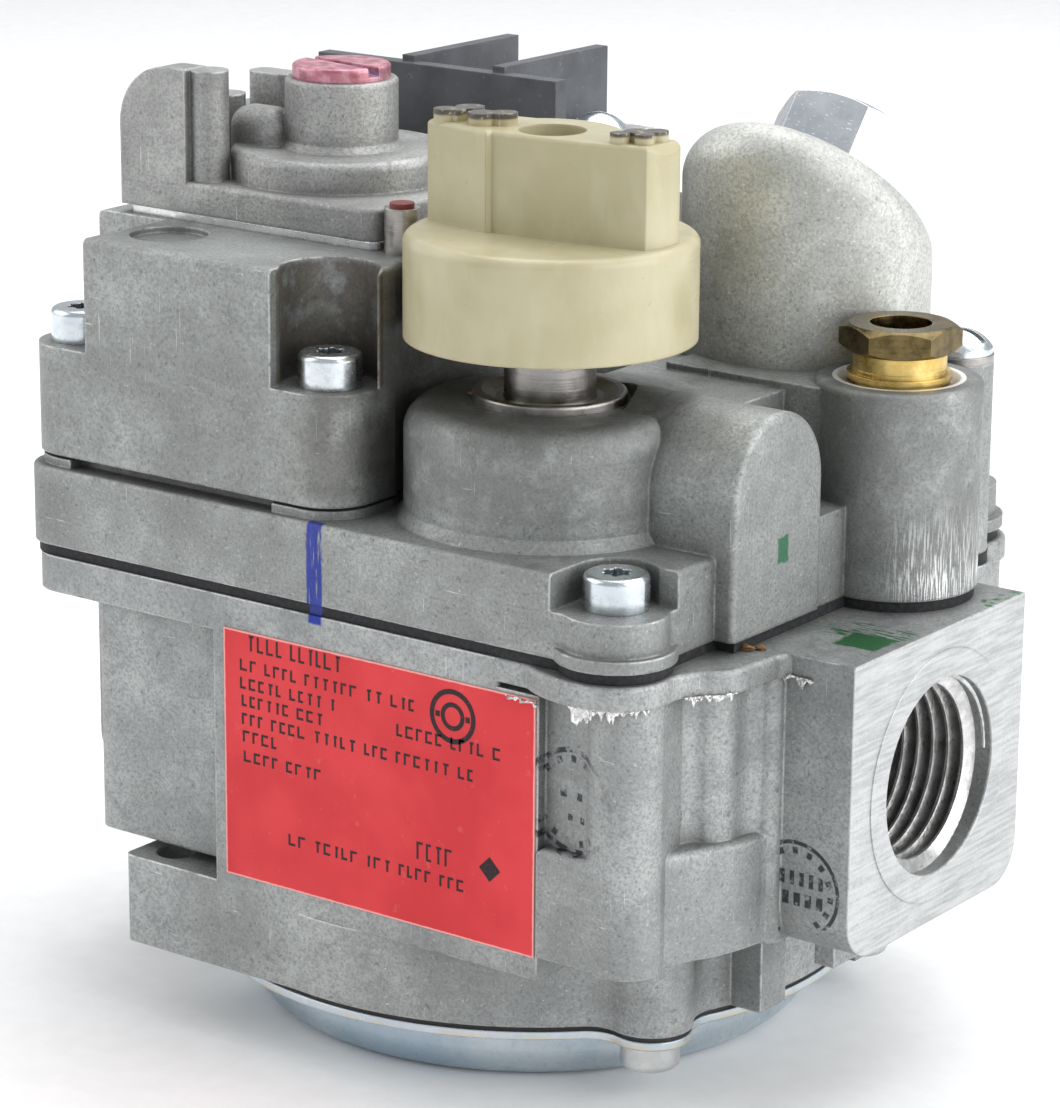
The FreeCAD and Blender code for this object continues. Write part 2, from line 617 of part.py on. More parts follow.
def pilot_nut():
    """Brass compression nut that clamps the pilot tube."""
    head = chamfered_hexagon(PILOT, 41.7, 44.6, NUT_FLATS, 31.0)
    neck = rod(PILOT, 39.9, 41.8, 4.9)
    thread = rod(PILOT, 33.2, 39.95, 4.95)
    crests = [rod(PILOT, 33.6 + 1.058 * i, 34.2 + 1.058 * i, PILOT_THREAD_R) for i in range(6)]
    nut = joined([head, neck, thread] + crests)
    return nut.cut(rod(PILOT, 30, 50, PILOT_TUBE_R))


def pilot_ferrule():
    ring = cone(PILOT, 30.6, 33.1, 3.9, 4.9)
    return ring.cut(rod(PILOT, 30, 34, PILOT_TUBE_R + 0.05))


def pilot_filter():
    """Sintered filter at the bottom of the pilot bore."""
    return rod(PILOT, 27.0, 28.2, 4.0)


def column_washer():
    return tube(COLUMN, COLUMN_TOP, COLUMN_TOP + 0.8, 3.6, SCREW_SHANK_R + 0.1)


def column_screw():
    """Pan-head screw that passes down the rear column."""
    seat = COLUMN_TOP + 0.8
    head = Part.makeSphere(4.1, Vector(COLUMN[0], COLUMN[1], seat - 1.5))
    head = head.common(rod(COLUMN, seat, 45, 3.45))
    shank = rod(COLUMN, 9.0, seat + 0.1, SCREW_SHANK_R)
    slot = box(COLUMN[0] - 5, COLUMN[0] + 5, COLUMN[1] - 0.45, COLUMN[1] + 0.45, seat + 1.4, 45)
    return head.fuse(shank).cut(slot)


def top_casting_screws():
    screws = [cheese_screw(place, 21.8, 12.5) for place in corner_screw_places()]
    screws.append(cheese_screw((-45.0, 31.0), PLATE_TOP, 16.0))
    return Part.makeCompound(screws)


def housing_pad(z0, z1, inset):
    """Machined pad under the operator housing, relieved along the front."""
    return housing_plan(z0, z1, inset).cut(box(-88, -60, -40, -33.2, PLATE_TOP, z1 + 1))


def operator_gasket():
    """Thin gasket between the plate and the operator housing."""
    sheet = housing_pad(PAD_TOP, HOUSING_Z, 0.5)
    hole_r = SCREW_SHANK_R + 0.1
    holes = [rod(place, PLATE_TOP - 1, HOUSING_Z + 1, hole_r) for place in housing_screw_places()]
    return drilled(sheet, holes)


def housing_plan(z0, z1, inset=0.0):
    """Outline of the operator housing, hollowed round the knob's turret."""
    block = rounded_block(PLATE_LEFT + inset, HOUSING_RIGHT - inset, -35.2 + inset, 33.4 - inset, z0, z1,
                          (5, 5, 5, 5))
    return block.cut(rod(COCK, z0 - 1, z1 + 1, 16.0 + inset))


def operator_housing():
    """Block that holds the operator coil, with four screw ledges."""
    block = housing_plan(HOUSING_Z, HOUSING_TOP)
    block = fillet_at(block, 0.7, level_at(HOUSING_TOP))
    tools = []
    for x, y in housing_screw_places():
        outward_x = -1 if x < -70 else 1
        outward_y = -1 if y < 0 else 1
        tools.append(rod((x, y), HOUSING_LEDGE, HOUSING_TOP + 1, 5.2))
        inner, deep = (3.9, 0.0) if outward_x > 0 else (4.9, 8.0)
        xs = sorted((x - outward_x * inner, x + outward_x * 12.0))
        ys = sorted((y - outward_y * deep, y + outward_y * 12.0))
        tools.append(box(xs[0], xs[1], ys[0], ys[1], HOUSING_LEDGE, HOUSING_TOP + 1))
        tools.append(rod((x, y), HOUSING_Z - 1, HOUSING_LEDGE + 1, SCREW_SHANK_R + 0.15))
    tools.append(rod((-79.8, -27.8), HOUSING_TOP - 0.7, HOUSING_TOP + 1, 4.2))
    tools.append(box(-84, -61, -24, 24, HOUSING_Z - 1, 46.0))
    tools.append(rod(TOWER, 45, HOUSING_TOP + 1, 9.5))
    tools.append(rod((-55.0, -19.6), HOUSING_TOP - 1.0, HOUSING_TOP + 1, 1.9))
    return drilled(block, tools)


def operator_housing_screws():
    return Part.makeCompound([cheese_screw(place, HOUSING_LEDGE, 18.0) for place in housing_screw_places()])


def sealed_post():
    """Hollow post over a factory-sealed adjuster."""
    place = (-55.0, -19.6)
    return rod(place, HOUSING_TOP - 1.0, 55.7, 1.85).cut(rod(place, 54.6, 56, 1.3))


def post_seal():
    place = (-55.0, -19.6)
    return rod(place, 54.6, 56.2, 1.3)


def operator_coil():
    """Wound coil on its bobbin, under the housing's roof."""
    place = (-73.0, 8.0)
    winding = tube(place, 32.3, 44.7, 8.5, 3.2)
    lower = tube(place, 31.0, 32.4, 9.8, 3.2)
    upper = tube(place, 44.6, 46.0, 9.8, 3.2)
    return joined([winding, lower, upper])


def coil_core():
    return rod((-73.0, 8.0), 29.0, 46.0, 3.1)


def operator_armature():
    """Thin plate that the coil's core lifts off the pilot bleed."""
    return box(-80.0, -66.0, -14.0, 14.0, 27.3, 28.1)


def regulator_gasket_plate():
    plate = rounded_block(COVER_LEFT + 0.9, COVER_RIGHT, COVER_FRONT + 0.1, COVER_BACK, HOUSING_TOP, COVER_Z,
                          (1, 1, 1, 1))
    return plate.cut(rod(TOWER, HOUSING_TOP - 1, COVER_Z + 1, 9.5))


def regulator_cover():
    """Cover with the spring tower, a stepped dome, an end wall and its ribs."""
    flange = rounded_block(COVER_LEFT, COVER_RIGHT, COVER_FRONT, COVER_BACK, COVER_Z, COVER_FLANGE_TOP,
                           (1, 2, 2, 1), 0.5)
    step = fillet_at(rod(TOWER, COVER_Z, STEP_TOP, STEP_R), 0.9, level_at(STEP_TOP))
    foot = cone(TOWER, STEP_TOP - 0.2, STEP_TOP + 0.7, TOWER_R + 0.9, TOWER_R)
    tower = rod(TOWER, STEP_TOP - 1, TOWER_TOP, TOWER_R)
    tower = fillet_at(tower, 0.4, level_at(TOWER_TOP))
    end_wall = box(COVER_LEFT, -83.0, COVER_FRONT, -17.8, COVER_Z, 67.3)

    def outer_top(edge):
        along_y = edge.BoundBox.YLength > 3
        return along_y and edge.BoundBox.ZMin > 67 and edge.BoundBox.XMax < COVER_LEFT + 0.1
    end_wall = fillet_at(end_wall, 6.6, outer_top)
    post = rod((-81.9, -18.6), COVER_Z, 67.1, 2.1)
    side_wall = box(COVER_LEFT, COVER_LEFT + 2.6, COVER_FRONT + 1, 4.0, COVER_Z, 60.5)
    pillar = box(-88.8, -83.0, -4.6, -1.4, COVER_Z, 64.6)
    pillar = fillet_at(pillar, 1.2, lambda edge: edge.BoundBox.ZLength > 10)
    arm = rod((-87.6, -9.0), COVER_Z, 62.8, 2.0)
    lump = rod_lump()
    shell = joined([flange, step, foot, tower, end_wall, post, side_wall, pillar, arm, lump])
    hollows = [rod(TOWER, COVER_Z - 1, 57.2, 9.5), rod(TOWER, 57, TOWER_TOP + 1, 4.45)]
    for place in cover_screw_places():
        hollows.append(rod(place, COVER_Z - 1, COVER_FLANGE_TOP + 1, 1.4))
    return drilled(shell, hollows)


def rod_lump():
    """Round-topped rib that leans on the tower."""
    body = box(-83.6, -76.4, -14.6, -9.4, COVER_Z, 62.6)
    return fillet_at(body, 2.3, lambda edge: edge.BoundBox.ZMin > 62 or edge.BoundBox.ZLength > 8)


def cover_screw_places():
    return [(-60.0, 6.2), (-88.6, 6.2)]


def regulator_cover_screws():
    screws = []
    for place in cover_screw_places():
        screws.append(cheese_screw(place, COVER_FLANGE_TOP, 3.3, 2.4, 1.6, 1.3))
    return Part.makeCompound(screws)


def regulator_cap():
    """Slotted cap that closes the spring tower."""
    cap = fillet_at(rod(TOWER, TOWER_TOP, TOWER_TOP + 1.5, 5.3), 0.35, level_at(TOWER_TOP + 1.5))
    plug = rod(TOWER, TOWER_TOP - 2.4, TOWER_TOP, 4.4)
    slot = box(TOWER[0] - 8, TOWER[0] + 8, TOWER[1] - 0.75, TOWER[1] + 0.75, TOWER_TOP + 0.5, TOWER_TOP + 3)
    slot.rotate(Vector(TOWER[0], TOWER[1], 0), Vector(0, 0, 1), -10)
    return cap.fuse(plug).cut(slot)


def regulator_adjusting_screw():
    """Slotted plug that sets the spring's load."""
    screw = rod(TOWER, 59.9, 62.0, 4.4)
    slot = box(TOWER[0] - 5, TOWER[0] + 5, TOWER[1] - 0.5, TOWER[1] + 0.5, 61.1, 64)
    return screw.cut(slot)


def regulator_spring_seat():
    return rod(TOWER, 59.0, 59.6, 4.1)


def regulator_spring():
    return helix_spring(TOWER, 54.0, 58.95, 3.2, 0.35, 3.5)


def regulator_diaphragm():
    """Disc clamped under the cover, with its centre plate."""
    disc = rod(TOWER, 52.7, 53.0, 9.45)
    plate = rod(TOWER, 52.9, 53.9, 5.5)
    return disc.fuse(plate)


def terminal_block():
    """Plastic block with a front wall and two dividing fins."""
    base = box(-90.3, -57.1, 10.0, 30.0, HOUSING_TOP, 56.3)
    wall = box(-90.3, -57.1, 10.0, 12.0, HOUSING_TOP, 64.7)
    fins = []
    for x, end in ((-78.2, 30.6), (-65.6, 30.6)):
        fins.append(box(x - 0.8, x + 0.8, 11.0, end, HOUSING_TOP, 65.4))
    block = joined([base, wall] + fins)
    for x in terminal_places():
        block = block.cut(rod((x, 23.5), 52.0, 58, 1.7))
    return block


def terminal_places():
    return (-84.5, -71.9, -61.0)


def terminal_plates():
    plates = []
    for x in terminal_places():
        plate = box(x - 3.4, x + 3.4, 17.5, 29.6, 56.3, 57.0)
        plates.append(plate.cut(rod((x, 23.5), 55, 58, 1.7)))
    return Part.makeCompound(plates)


def terminal_screws():
    screws = []
    for x in terminal_places():
        place = (x, 23.5)
        head = Part.makeSphere(4.0, Vector(x, 23.5, 55.2)).common(rod(place, 57.0, 62, 3.3))
        shank = rod(place, 52.6, 57.1, 1.6)
        slot = box(x - 5, x + 5, 23.0, 24.0, 58.3, 62)
        slot.rotate(Vector(x, 23.5, 0), Vector(0, 0, 1), 35)
        screws.append(head.fuse(shank).cut(slot))
    return Part.makeCompound(screws)


def main_valve():
    """Disc above the main seat with the stem that the diaphragm lifts."""
    disc = rod((MAIN_X, 0), SEAT_Z, SEAT_Z + 1.6, 9.2)
    holder = rod((MAIN_X, 0), SEAT_Z + 1.6, SEAT_Z + 3.0, 7.4)
    stem = rod((MAIN_X, 0), -23.6, SEAT_Z + 0.1, 2.0)
    return joined([disc, holder, stem])


def main_spring():
    return helix_spring((MAIN_X, 0), SEAT_Z + 3.1, 16.6, 4.8, 0.5, 5.5)


def diaphragm_plate():
    return rod((MAIN_X, 0), -25.0, -23.6, 17.0)


def main_diaphragm():
    """Rubber sheet clamped under the body, with a raised centre."""
    rim = diaphragm_rim(LOWER_BOTTOM - DIAPHRAGM_T, LOWER_BOTTOM, 0.4)
    centre = rod((MAIN_X, 0), LOWER_BOTTOM, -25.35, 18.0)
    sheet = rim.fuse(centre)
    holes = [rod(place, -30, -20, SCREW_SHANK_R + 0.1) for place in lobe_places()]
    return drilled(sheet, holes)


def diaphragm_rim(z0, z1, inset):
    """Round flange with three screw lobes, run out softly into the round."""
    rim_r = LOWER_R - inset
    lobe_r = LOBE_R - inset
    parts = [rod((MAIN_X, 0), z0, z1, rim_r)]
    parts += [rod(place, z0, z1, lobe_r) for place in lobe_places()]

    def notch(edge):
        spot = edge.CenterOfMass
        on_rim = abs(math.hypot(spot.x - MAIN_X, spot.y) - rim_r) < 0.01
        on_lobe = min(abs(math.hypot(spot.x - x, spot.y - y) - lobe_r) for x, y in lobe_places()) < 0.01
        return on_rim and on_lobe and edge.BoundBox.ZLength > 0.5 * (z1 - z0)
    return fillet_at(joined(parts), 4.0, notch)


def diaphragm_pan():
    """Pressed steel pan that closes the diaphragm chamber."""
    top = LOWER_BOTTOM - DIAPHRAGM_T
    flange = diaphragm_rim(top - PAN_T, top, 0.2)
    bowl = fillet_at(rod((MAIN_X, 0), PAN_BOTTOM, top, PAN_R), 3.5, level_at(PAN_BOTTOM))
    inner = fillet_at(rod((MAIN_X, 0), PAN_BOTTOM + PAN_T, top + 5, PAN_R - PAN_T), 2.6,
                      level_at(PAN_BOTTOM + PAN_T))
    pan = flange.fuse(bowl).cut(inner)
    holes = [rod(place, -30, -20, SCREW_SHANK_R + 0.1) for place in lobe_places()]
    return drilled(pan, holes)


def pan_screws():
    """Screws under the pan's lobes, heads down."""
    seat = LOWER_BOTTOM - DIAPHRAGM_T - PAN_T
    screws = []
    for place in lobe_places():
        head = fillet_at(rod(place, seat - 3.2, seat, 3.13), 0.8, level_at(seat - 3.2))
        screws.append(head.fuse(rod(place, seat - 0.1, LOWER_BOTTOM + 7.0, SCREW_SHANK_R - 0.05)))
    return Part.makeCompound(screws)


def inlet_screen():
    """Dished mesh cup at the end of the inlet thread."""
    cup = rod_x(-23.0, -PORT_DEPTH - 0.1, 0, 0, PASSAGE_R - 0.05)
    return cup.cut(rod_x(-22.5, -10, 0, 0, PASSAGE_R - 0.55))


def rating_label():
    return box(-65.8, -25.3, -HALF_DEPTH - 0.12, -HALF_DEPTH, -14.9, 12.4)


NODES = {
    "valve_body": valve_body,
    "body_gasket": body_gasket,
    "top_casting": top_casting,
    "power_unit_housing": power_unit_housing,
    "shaft_collar": shaft_collar,
    "shaft_o_ring": shaft_o_ring,
    "gas_cock_plug": gas_cock_plug,
    "knob_shaft": knob_shaft,
    "knob_return_spring": knob_return_spring,
    "control_knob": control_knob,
    "power_unit_nut": power_unit_nut,
    "power_unit_magnet": power_unit_magnet,
    "safety_valve_disc": safety_valve_disc,
    "pilot_nut": pilot_nut,
    "pilot_ferrule": pilot_ferrule,
    "pilot_filter": pilot_filter,
    "column_washer": column_washer,
    "column_screw": column_screw,
    "top_casting_screws": top_casting_screws,
    "operator_gasket": operator_gasket,
    "operator_housing": operator_housing,
    "operator_housing_screws": operator_housing_screws,
    "sealed_post": sealed_post,
    "post_seal": post_seal,
    "operator_coil": operator_coil,
    "coil_core": coil_core,
    "operator_armature": operator_armature,
    "regulator_gasket_plate": regulator_gasket_plate,
    "regulator_cover": regulator_cover,
    "regulator_cover_screws": regulator_cover_screws,
    "regulator_cap": regulator_cap,
    "regulator_adjusting_screw": regulator_adjusting_screw,
    "regulator_spring_seat": regulator_spring_seat,
    "regulator_spring": regulator_spring,
    "regulator_diaphragm": regulator_diaphragm,
    "terminal_block": terminal_block,
    "terminal_plates": terminal_plates,
    "terminal_screws": terminal_screws,
    "main_valve": main_valve,
    "main_spring": main_spring,
    "diaphragm_plate": diaphragm_plate,
    "main_diaphragm": main_diaphragm,
    "diaphragm_pan": diaphragm_pan,
    "pan_screws": pan_screws,
    "inlet_screen": inlet_screen,
    "rating_label": rating_label,
}

for name, make in NODES.items():
    shape = make()
    shape.exportStep("parts/" + name + ".step")
    print(name, len(shape.Solids), shape.isValid(), round(shape.Volume, 1))
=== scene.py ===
import json
import math
import random

import bmesh
import bpy
from mathutils import Matrix, Vector


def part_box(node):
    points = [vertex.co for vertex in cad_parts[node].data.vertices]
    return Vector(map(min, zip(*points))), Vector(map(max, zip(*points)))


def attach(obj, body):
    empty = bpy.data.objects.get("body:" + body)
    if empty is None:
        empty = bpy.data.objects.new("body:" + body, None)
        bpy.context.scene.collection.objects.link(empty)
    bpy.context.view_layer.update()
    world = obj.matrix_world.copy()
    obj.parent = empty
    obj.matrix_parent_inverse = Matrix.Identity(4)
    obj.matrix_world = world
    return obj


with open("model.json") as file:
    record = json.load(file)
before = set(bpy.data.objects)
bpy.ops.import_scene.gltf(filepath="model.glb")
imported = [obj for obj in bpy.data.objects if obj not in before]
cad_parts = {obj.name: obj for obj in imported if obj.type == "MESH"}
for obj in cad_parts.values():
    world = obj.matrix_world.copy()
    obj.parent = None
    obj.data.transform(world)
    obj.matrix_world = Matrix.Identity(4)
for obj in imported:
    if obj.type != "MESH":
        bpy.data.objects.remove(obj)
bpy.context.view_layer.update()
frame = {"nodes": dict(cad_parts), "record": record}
NODES = frame["nodes"]

MOUNTS = {mount["name"]: mount for mount in frame["record"]["mounts"]}

MM = 0.001
X, Y, Z = range(3)


def span(node, axis):
    """Lowest and highest coordinate of a CAD node along one axis, millimetres."""
    low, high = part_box(node)
    return round(low[axis] / MM, 2), round(high[axis] / MM, 2)


def plan_centre(node):
    """Middle of a CAD node seen from above, millimetres."""
    return tuple(round(sum(span(node, axis)) / 2, 2) for axis in (X, Y))


# Planes and places of the CAD model that the marks and small pieces use, millimetres
LABEL_X = span("rating_label", X)
LABEL_Z = span("rating_label", Z)
LABEL_FACE_Y = span("rating_label", Y)[0]
OUTLET_X, INLET_X = span("valve_body", X)
SPLIT_Z = span("body_gasket", Z)[0]
PORT_ROOT_R = MOUNTS["inlet_port"]["dims"]["r_mm"]
PILOT = plan_centre("pilot_nut")
COCK = plan_centre("knob_shaft")
FLOOR_Z = span("diaphragm_pan", Z)[0]
BLOCK_FRONT_Y = -17.0
FRONT_SCREW = (-56.0, -30.2)

# Pipe thread, millimetres
THREAD_PITCH = 1.814
THREAD_DEPTH = 1.28
THREAD_TURNS = 7.6
THREAD_START = 1.05

# Ink stamps (place in X and Z, radius) and the marker stroke over the split line, millimetres
BLOCK_STAMP, BLOCK_STAMP_R = (-6.5, -8.9), 5.05
WALL_STAMP, WALL_STAMP_R = (-21.4, 2.3), 5.3
STROKE_LEFT = -54.4

# Rows of bars that stand for the label's text: height, start, end and bar height, millimetres
LABEL_ROWS = ((10.4, -62.6, -49.0, 1.7), (8.1, -63.6, -39.6, 1.25), (6.1, -63.6, -49.8, 1.25),
              (4.2, -63.4, -52.0, 1.25), (2.2, -63.4, -32.0, 1.25), (0.3, -63.3, -58.6, 1.25),
              (-1.9, -63.2, -52.2, 1.2), (5.1, -42.8, -28.6, 1.3),
              (-9.9, -57.2, -33.6, 1.25), (-7.6, -40.2, -34.2, 1.9))
ROUNDEL = (-35.6, 8.6)
DIAMOND = (-30.85, -6.65)

# Torn casting flash: name, plan line, top edge, depth and seed; lengths in millimetres
FLASH_STRIPS = (
    ("flash_corner", ((-20.5, -37.75), (-18.6, -37.95), (-16.2, -37.3), (-14.2, -36.0), (-13.0, -33.9)),
     13.5, 1.5, 3),
    ("flash_side", ((-12.3, -29.2), (-11.2, -27.5), (-9.9, -26.2), (-9.1, -24.4)), 13.5, 1.1, 5),
    ("flash_block", ((-9.6, -17.05), (-4.9, -17.05)), 13.7, 1.3, 8),
    ("flash_lip_left", ((-29.0, -36.0), (-24.4, -36.5)), 12.2, 0.5, 12),
)

# Crumbs of dried sealant: name, centre, half sizes and seed; lengths in millimetres
GLUE_BEADS = (
    ("glue_corner", (-12.2, -18.6, 16.1), (0.9, 0.45, 0.35), 21),
    ("glue_corner_small", (-11.0, -17.6, 16.0), (0.55, 0.4, 0.3), 22),
    ("glue_collar", (-44.0, -21.5, 38.0), (0.8, 0.6, 0.28), 23),
)

# Camera: direction and roll in degrees, aim point and shift from it (right, up, back) in millimetres
VIEW_AZIMUTH, VIEW_ELEVATION, VIEW_ROLL = 36.33, 15.98, 0.46
VIEW_AIM = (0, -17.0, 15.8)
VIEW_SHIFT = (-32.27, 11.32, 400.46)
LENS, SENSOR = 131.88, 36

# Studio light: softboxes as name, place, size (metres), power (watts) and tone
WORLD_TONE, WORLD_STRENGTH = (0.95, 0.97, 1.0, 1), 0.58
LIGHT_AIM = (-0.045, 0.0, 0.012)
SOFTBOXES = (
    ("left", (-0.55, -0.30, 0.34), (0.70, 0.60), 1.9, (1.0, 0.99, 0.97)),
    ("right", (0.62, 0.10, 0.30), (0.80, 0.60), 4.2, (1, 1, 1)),
    ("top", (-0.05, 0.30, 0.70), (0.90, 0.80), 5.6, (1, 1, 1)),
)
FLOOR_HALF = 4.0


class Paint:
    """One procedural material, built step by step, in millimetres of the object's frame."""

    def __init__(self, name, **sockets):
        self.material = bpy.data.materials.new(name)
        self.material.use_nodes = True
        self.tree = self.material.node_tree
        self.shader = self.tree.nodes["Principled BSDF"]
        for key, value in sockets.items():
            self.shader.inputs[key.replace("_", " ")].default_value = value
        coordinates = self.node("ShaderNodeTexCoord").outputs["Object"]
        scale = self.node("ShaderNodeVectorMath")
        scale.operation = "SCALE"
        self.feed(scale.inputs[0], coordinates)
        scale.inputs["Scale"].default_value = 1 / MM
        self.place = scale.outputs[0]
        self.bevels = {}
        split = self.node("ShaderNodeSeparateXYZ")
        self.feed(split.inputs[0], self.place)
        self.x, self.y, self.z = split.outputs

    def node(self, kind):
        return self.tree.nodes.new(kind)

    def feed(self, socket, value):
        if isinstance(value, bpy.types.NodeSocket):
            self.tree.links.new(value, socket)
        else:
            socket.default_value = value

    def sums(self, operation, a, b=0.0, clamp=False):
        step = self.node("ShaderNodeMath")
        step.operation = operation
        step.use_clamp = clamp
        self.feed(step.inputs[0], a)
        self.feed(step.inputs[1], b)
        return step.outputs[0]

    def stretched(self, factors, shift=(0, 0, 0)):
        mapping = self.node("ShaderNodeMapping")
        self.feed(mapping.inputs["Vector"], self.place)
        mapping.inputs["Scale"].default_value = factors
        mapping.inputs["Location"].default_value = shift
        return mapping.outputs[0]

    def noise(self, size, detail=3.0, rough=0.55, stretch=(1, 1, 1), seed=0.0, distortion=0.0):
        """Noise whose blobs are about size millimetres across."""
        texture = self.node("ShaderNodeTexNoise")
        self.feed(texture.inputs["Vector"], self.stretched(stretch, (seed * 17.3, seed * 9.1, seed * 5.7)))
        texture.inputs["Scale"].default_value = 1 / size
        texture.inputs["Detail"].default_value = detail
        texture.inputs["Roughness"].default_value = rough
        texture.inputs["Distortion"].default_value = distortion
        return texture.outputs[0]

    def cells(self, size, seed=0.0):
        texture = self.node("ShaderNodeTexVoronoi")
        self.feed(texture.inputs["Vector"], self.stretched((1, 1, 1), (seed * 7.7, seed * 3.1, seed)))
        texture.inputs["Scale"].default_value = 1 / size
        return texture.outputs[0]

    def ramp(self, value, start, end, low=0.0, high=1.0):
        step = self.node("ShaderNodeMapRange")
        step.interpolation_type = "SMOOTHSTEP"
        for socket, number in zip(step.inputs[1:5], (start, end, low, high)):
            socket.default_value = number
        self.feed(step.inputs[0], value)
        return step.outputs[0]

    def band(self, value, start, end, soft):
        rise = self.ramp(value, start - soft, start + soft)
        fall = self.ramp(value, end - soft, end + soft, 1.0, 0.0)
        return self.sums("MULTIPLY", rise, fall)

    def wobbled(self, value, amount, size, seed):
        """A coordinate shifted by noise, so that a mark's edge is uneven."""
        swing = self.sums("SUBTRACT", self.noise(size, 3, 0.6, seed=seed), 0.5)
        return self.sums("ADD", value, self.sums("MULTIPLY", swing, 2 * amount))

    def patch(self, spans, soft=0.1, wobble=0.0, size=2.0, seed=0.0):
        """1 inside a box given as {axis letter: (from, to)}, 0 outside."""
        mask = None
        for letter, (start, end) in spans.items():
            value = getattr(self, letter)
            if wobble:
                value = self.wobbled(value, wobble, size, seed + ord(letter) * 0.1)
            one = self.band(value, start, end, soft)
            mask = one if mask is None else self.sums("MULTIPLY", mask, one)
        return mask

    def all_of(self, *masks):
        total = masks[0]
        for mask in masks[1:]:
            total = self.sums("MULTIPLY", total, mask)
        return total

    def any_of(self, *masks):
        total = masks[0]
        for mask in masks[1:]:
            total = self.sums("MAXIMUM", total, mask)
        return total

    def mix(self, factor, a, b):
        step = self.node("ShaderNodeMix")
        step.data_type = "RGBA"
        step.clamp_factor = True
        self.feed(step.inputs[0], factor)
        self.feed(step.inputs[6], a if isinstance(a, bpy.types.NodeSocket) else (*a, 1))
        self.feed(step.inputs[7], b if isinstance(b, bpy.types.NodeSocket) else (*b, 1))
        return step.outputs[2]

    def blend(self, factor, a, b):
        step = self.node("ShaderNodeMix")
        step.data_type = "FLOAT"
        step.clamp_factor = True
        self.feed(step.inputs[0], factor)
        self.feed(step.inputs[2], a)
        self.feed(step.inputs[3], b)
        return step.outputs[0]

    def soft_normal(self, radius):
        if radius not in self.bevels:
            bevel = self.node("ShaderNodeBevel")
            bevel.samples = 4
            bevel.inputs["Radius"].default_value = radius * MM
            self.bevels[radius] = bevel.outputs[0]
        return self.bevels[radius]

    def edges(self, radius, start=0.02, end=0.25):
        """1 along edges and corners, 0 on flat faces."""
        dot = self.node("ShaderNodeVectorMath")
        dot.operation = "DOT_PRODUCT"
        self.feed(dot.inputs[0], self.soft_normal(radius))
        self.feed(dot.inputs[1], self.node("ShaderNodeNewGeometry").outputs["Normal"])
        return self.ramp(self.sums("SUBTRACT", 1.0, dot.outputs["Value"]), start, end)

    def hollow(self, reach, start=0.35, end=0.95):
        """1 deep in a corner or recess, 0 in the open."""
        shade = self.node("ShaderNodeAmbientOcclusion")
        shade.samples = 4
        shade.inputs["Distance"].default_value = reach * MM
        return self.ramp(shade.outputs["AO"], start, end, 1.0, 0.0)

    def bump(self, height, depth, normal=None):
        step = self.node("ShaderNodeBump")
        step.inputs["Strength"].default_value = 1.0
        step.inputs["Distance"].default_value = depth * MM
        self.feed(step.inputs["Height"], height)
        if normal is not None:
            self.feed(step.inputs["Normal"], normal)
        return step.outputs[0]

    def finish(self, colour, roughness, normal):
        self.feed(self.shader.inputs["Base Color"], colour)
        self.feed(self.shader.inputs["Roughness"], roughness)
        self.feed(self.shader.inputs["Normal"], normal)
        return self.material


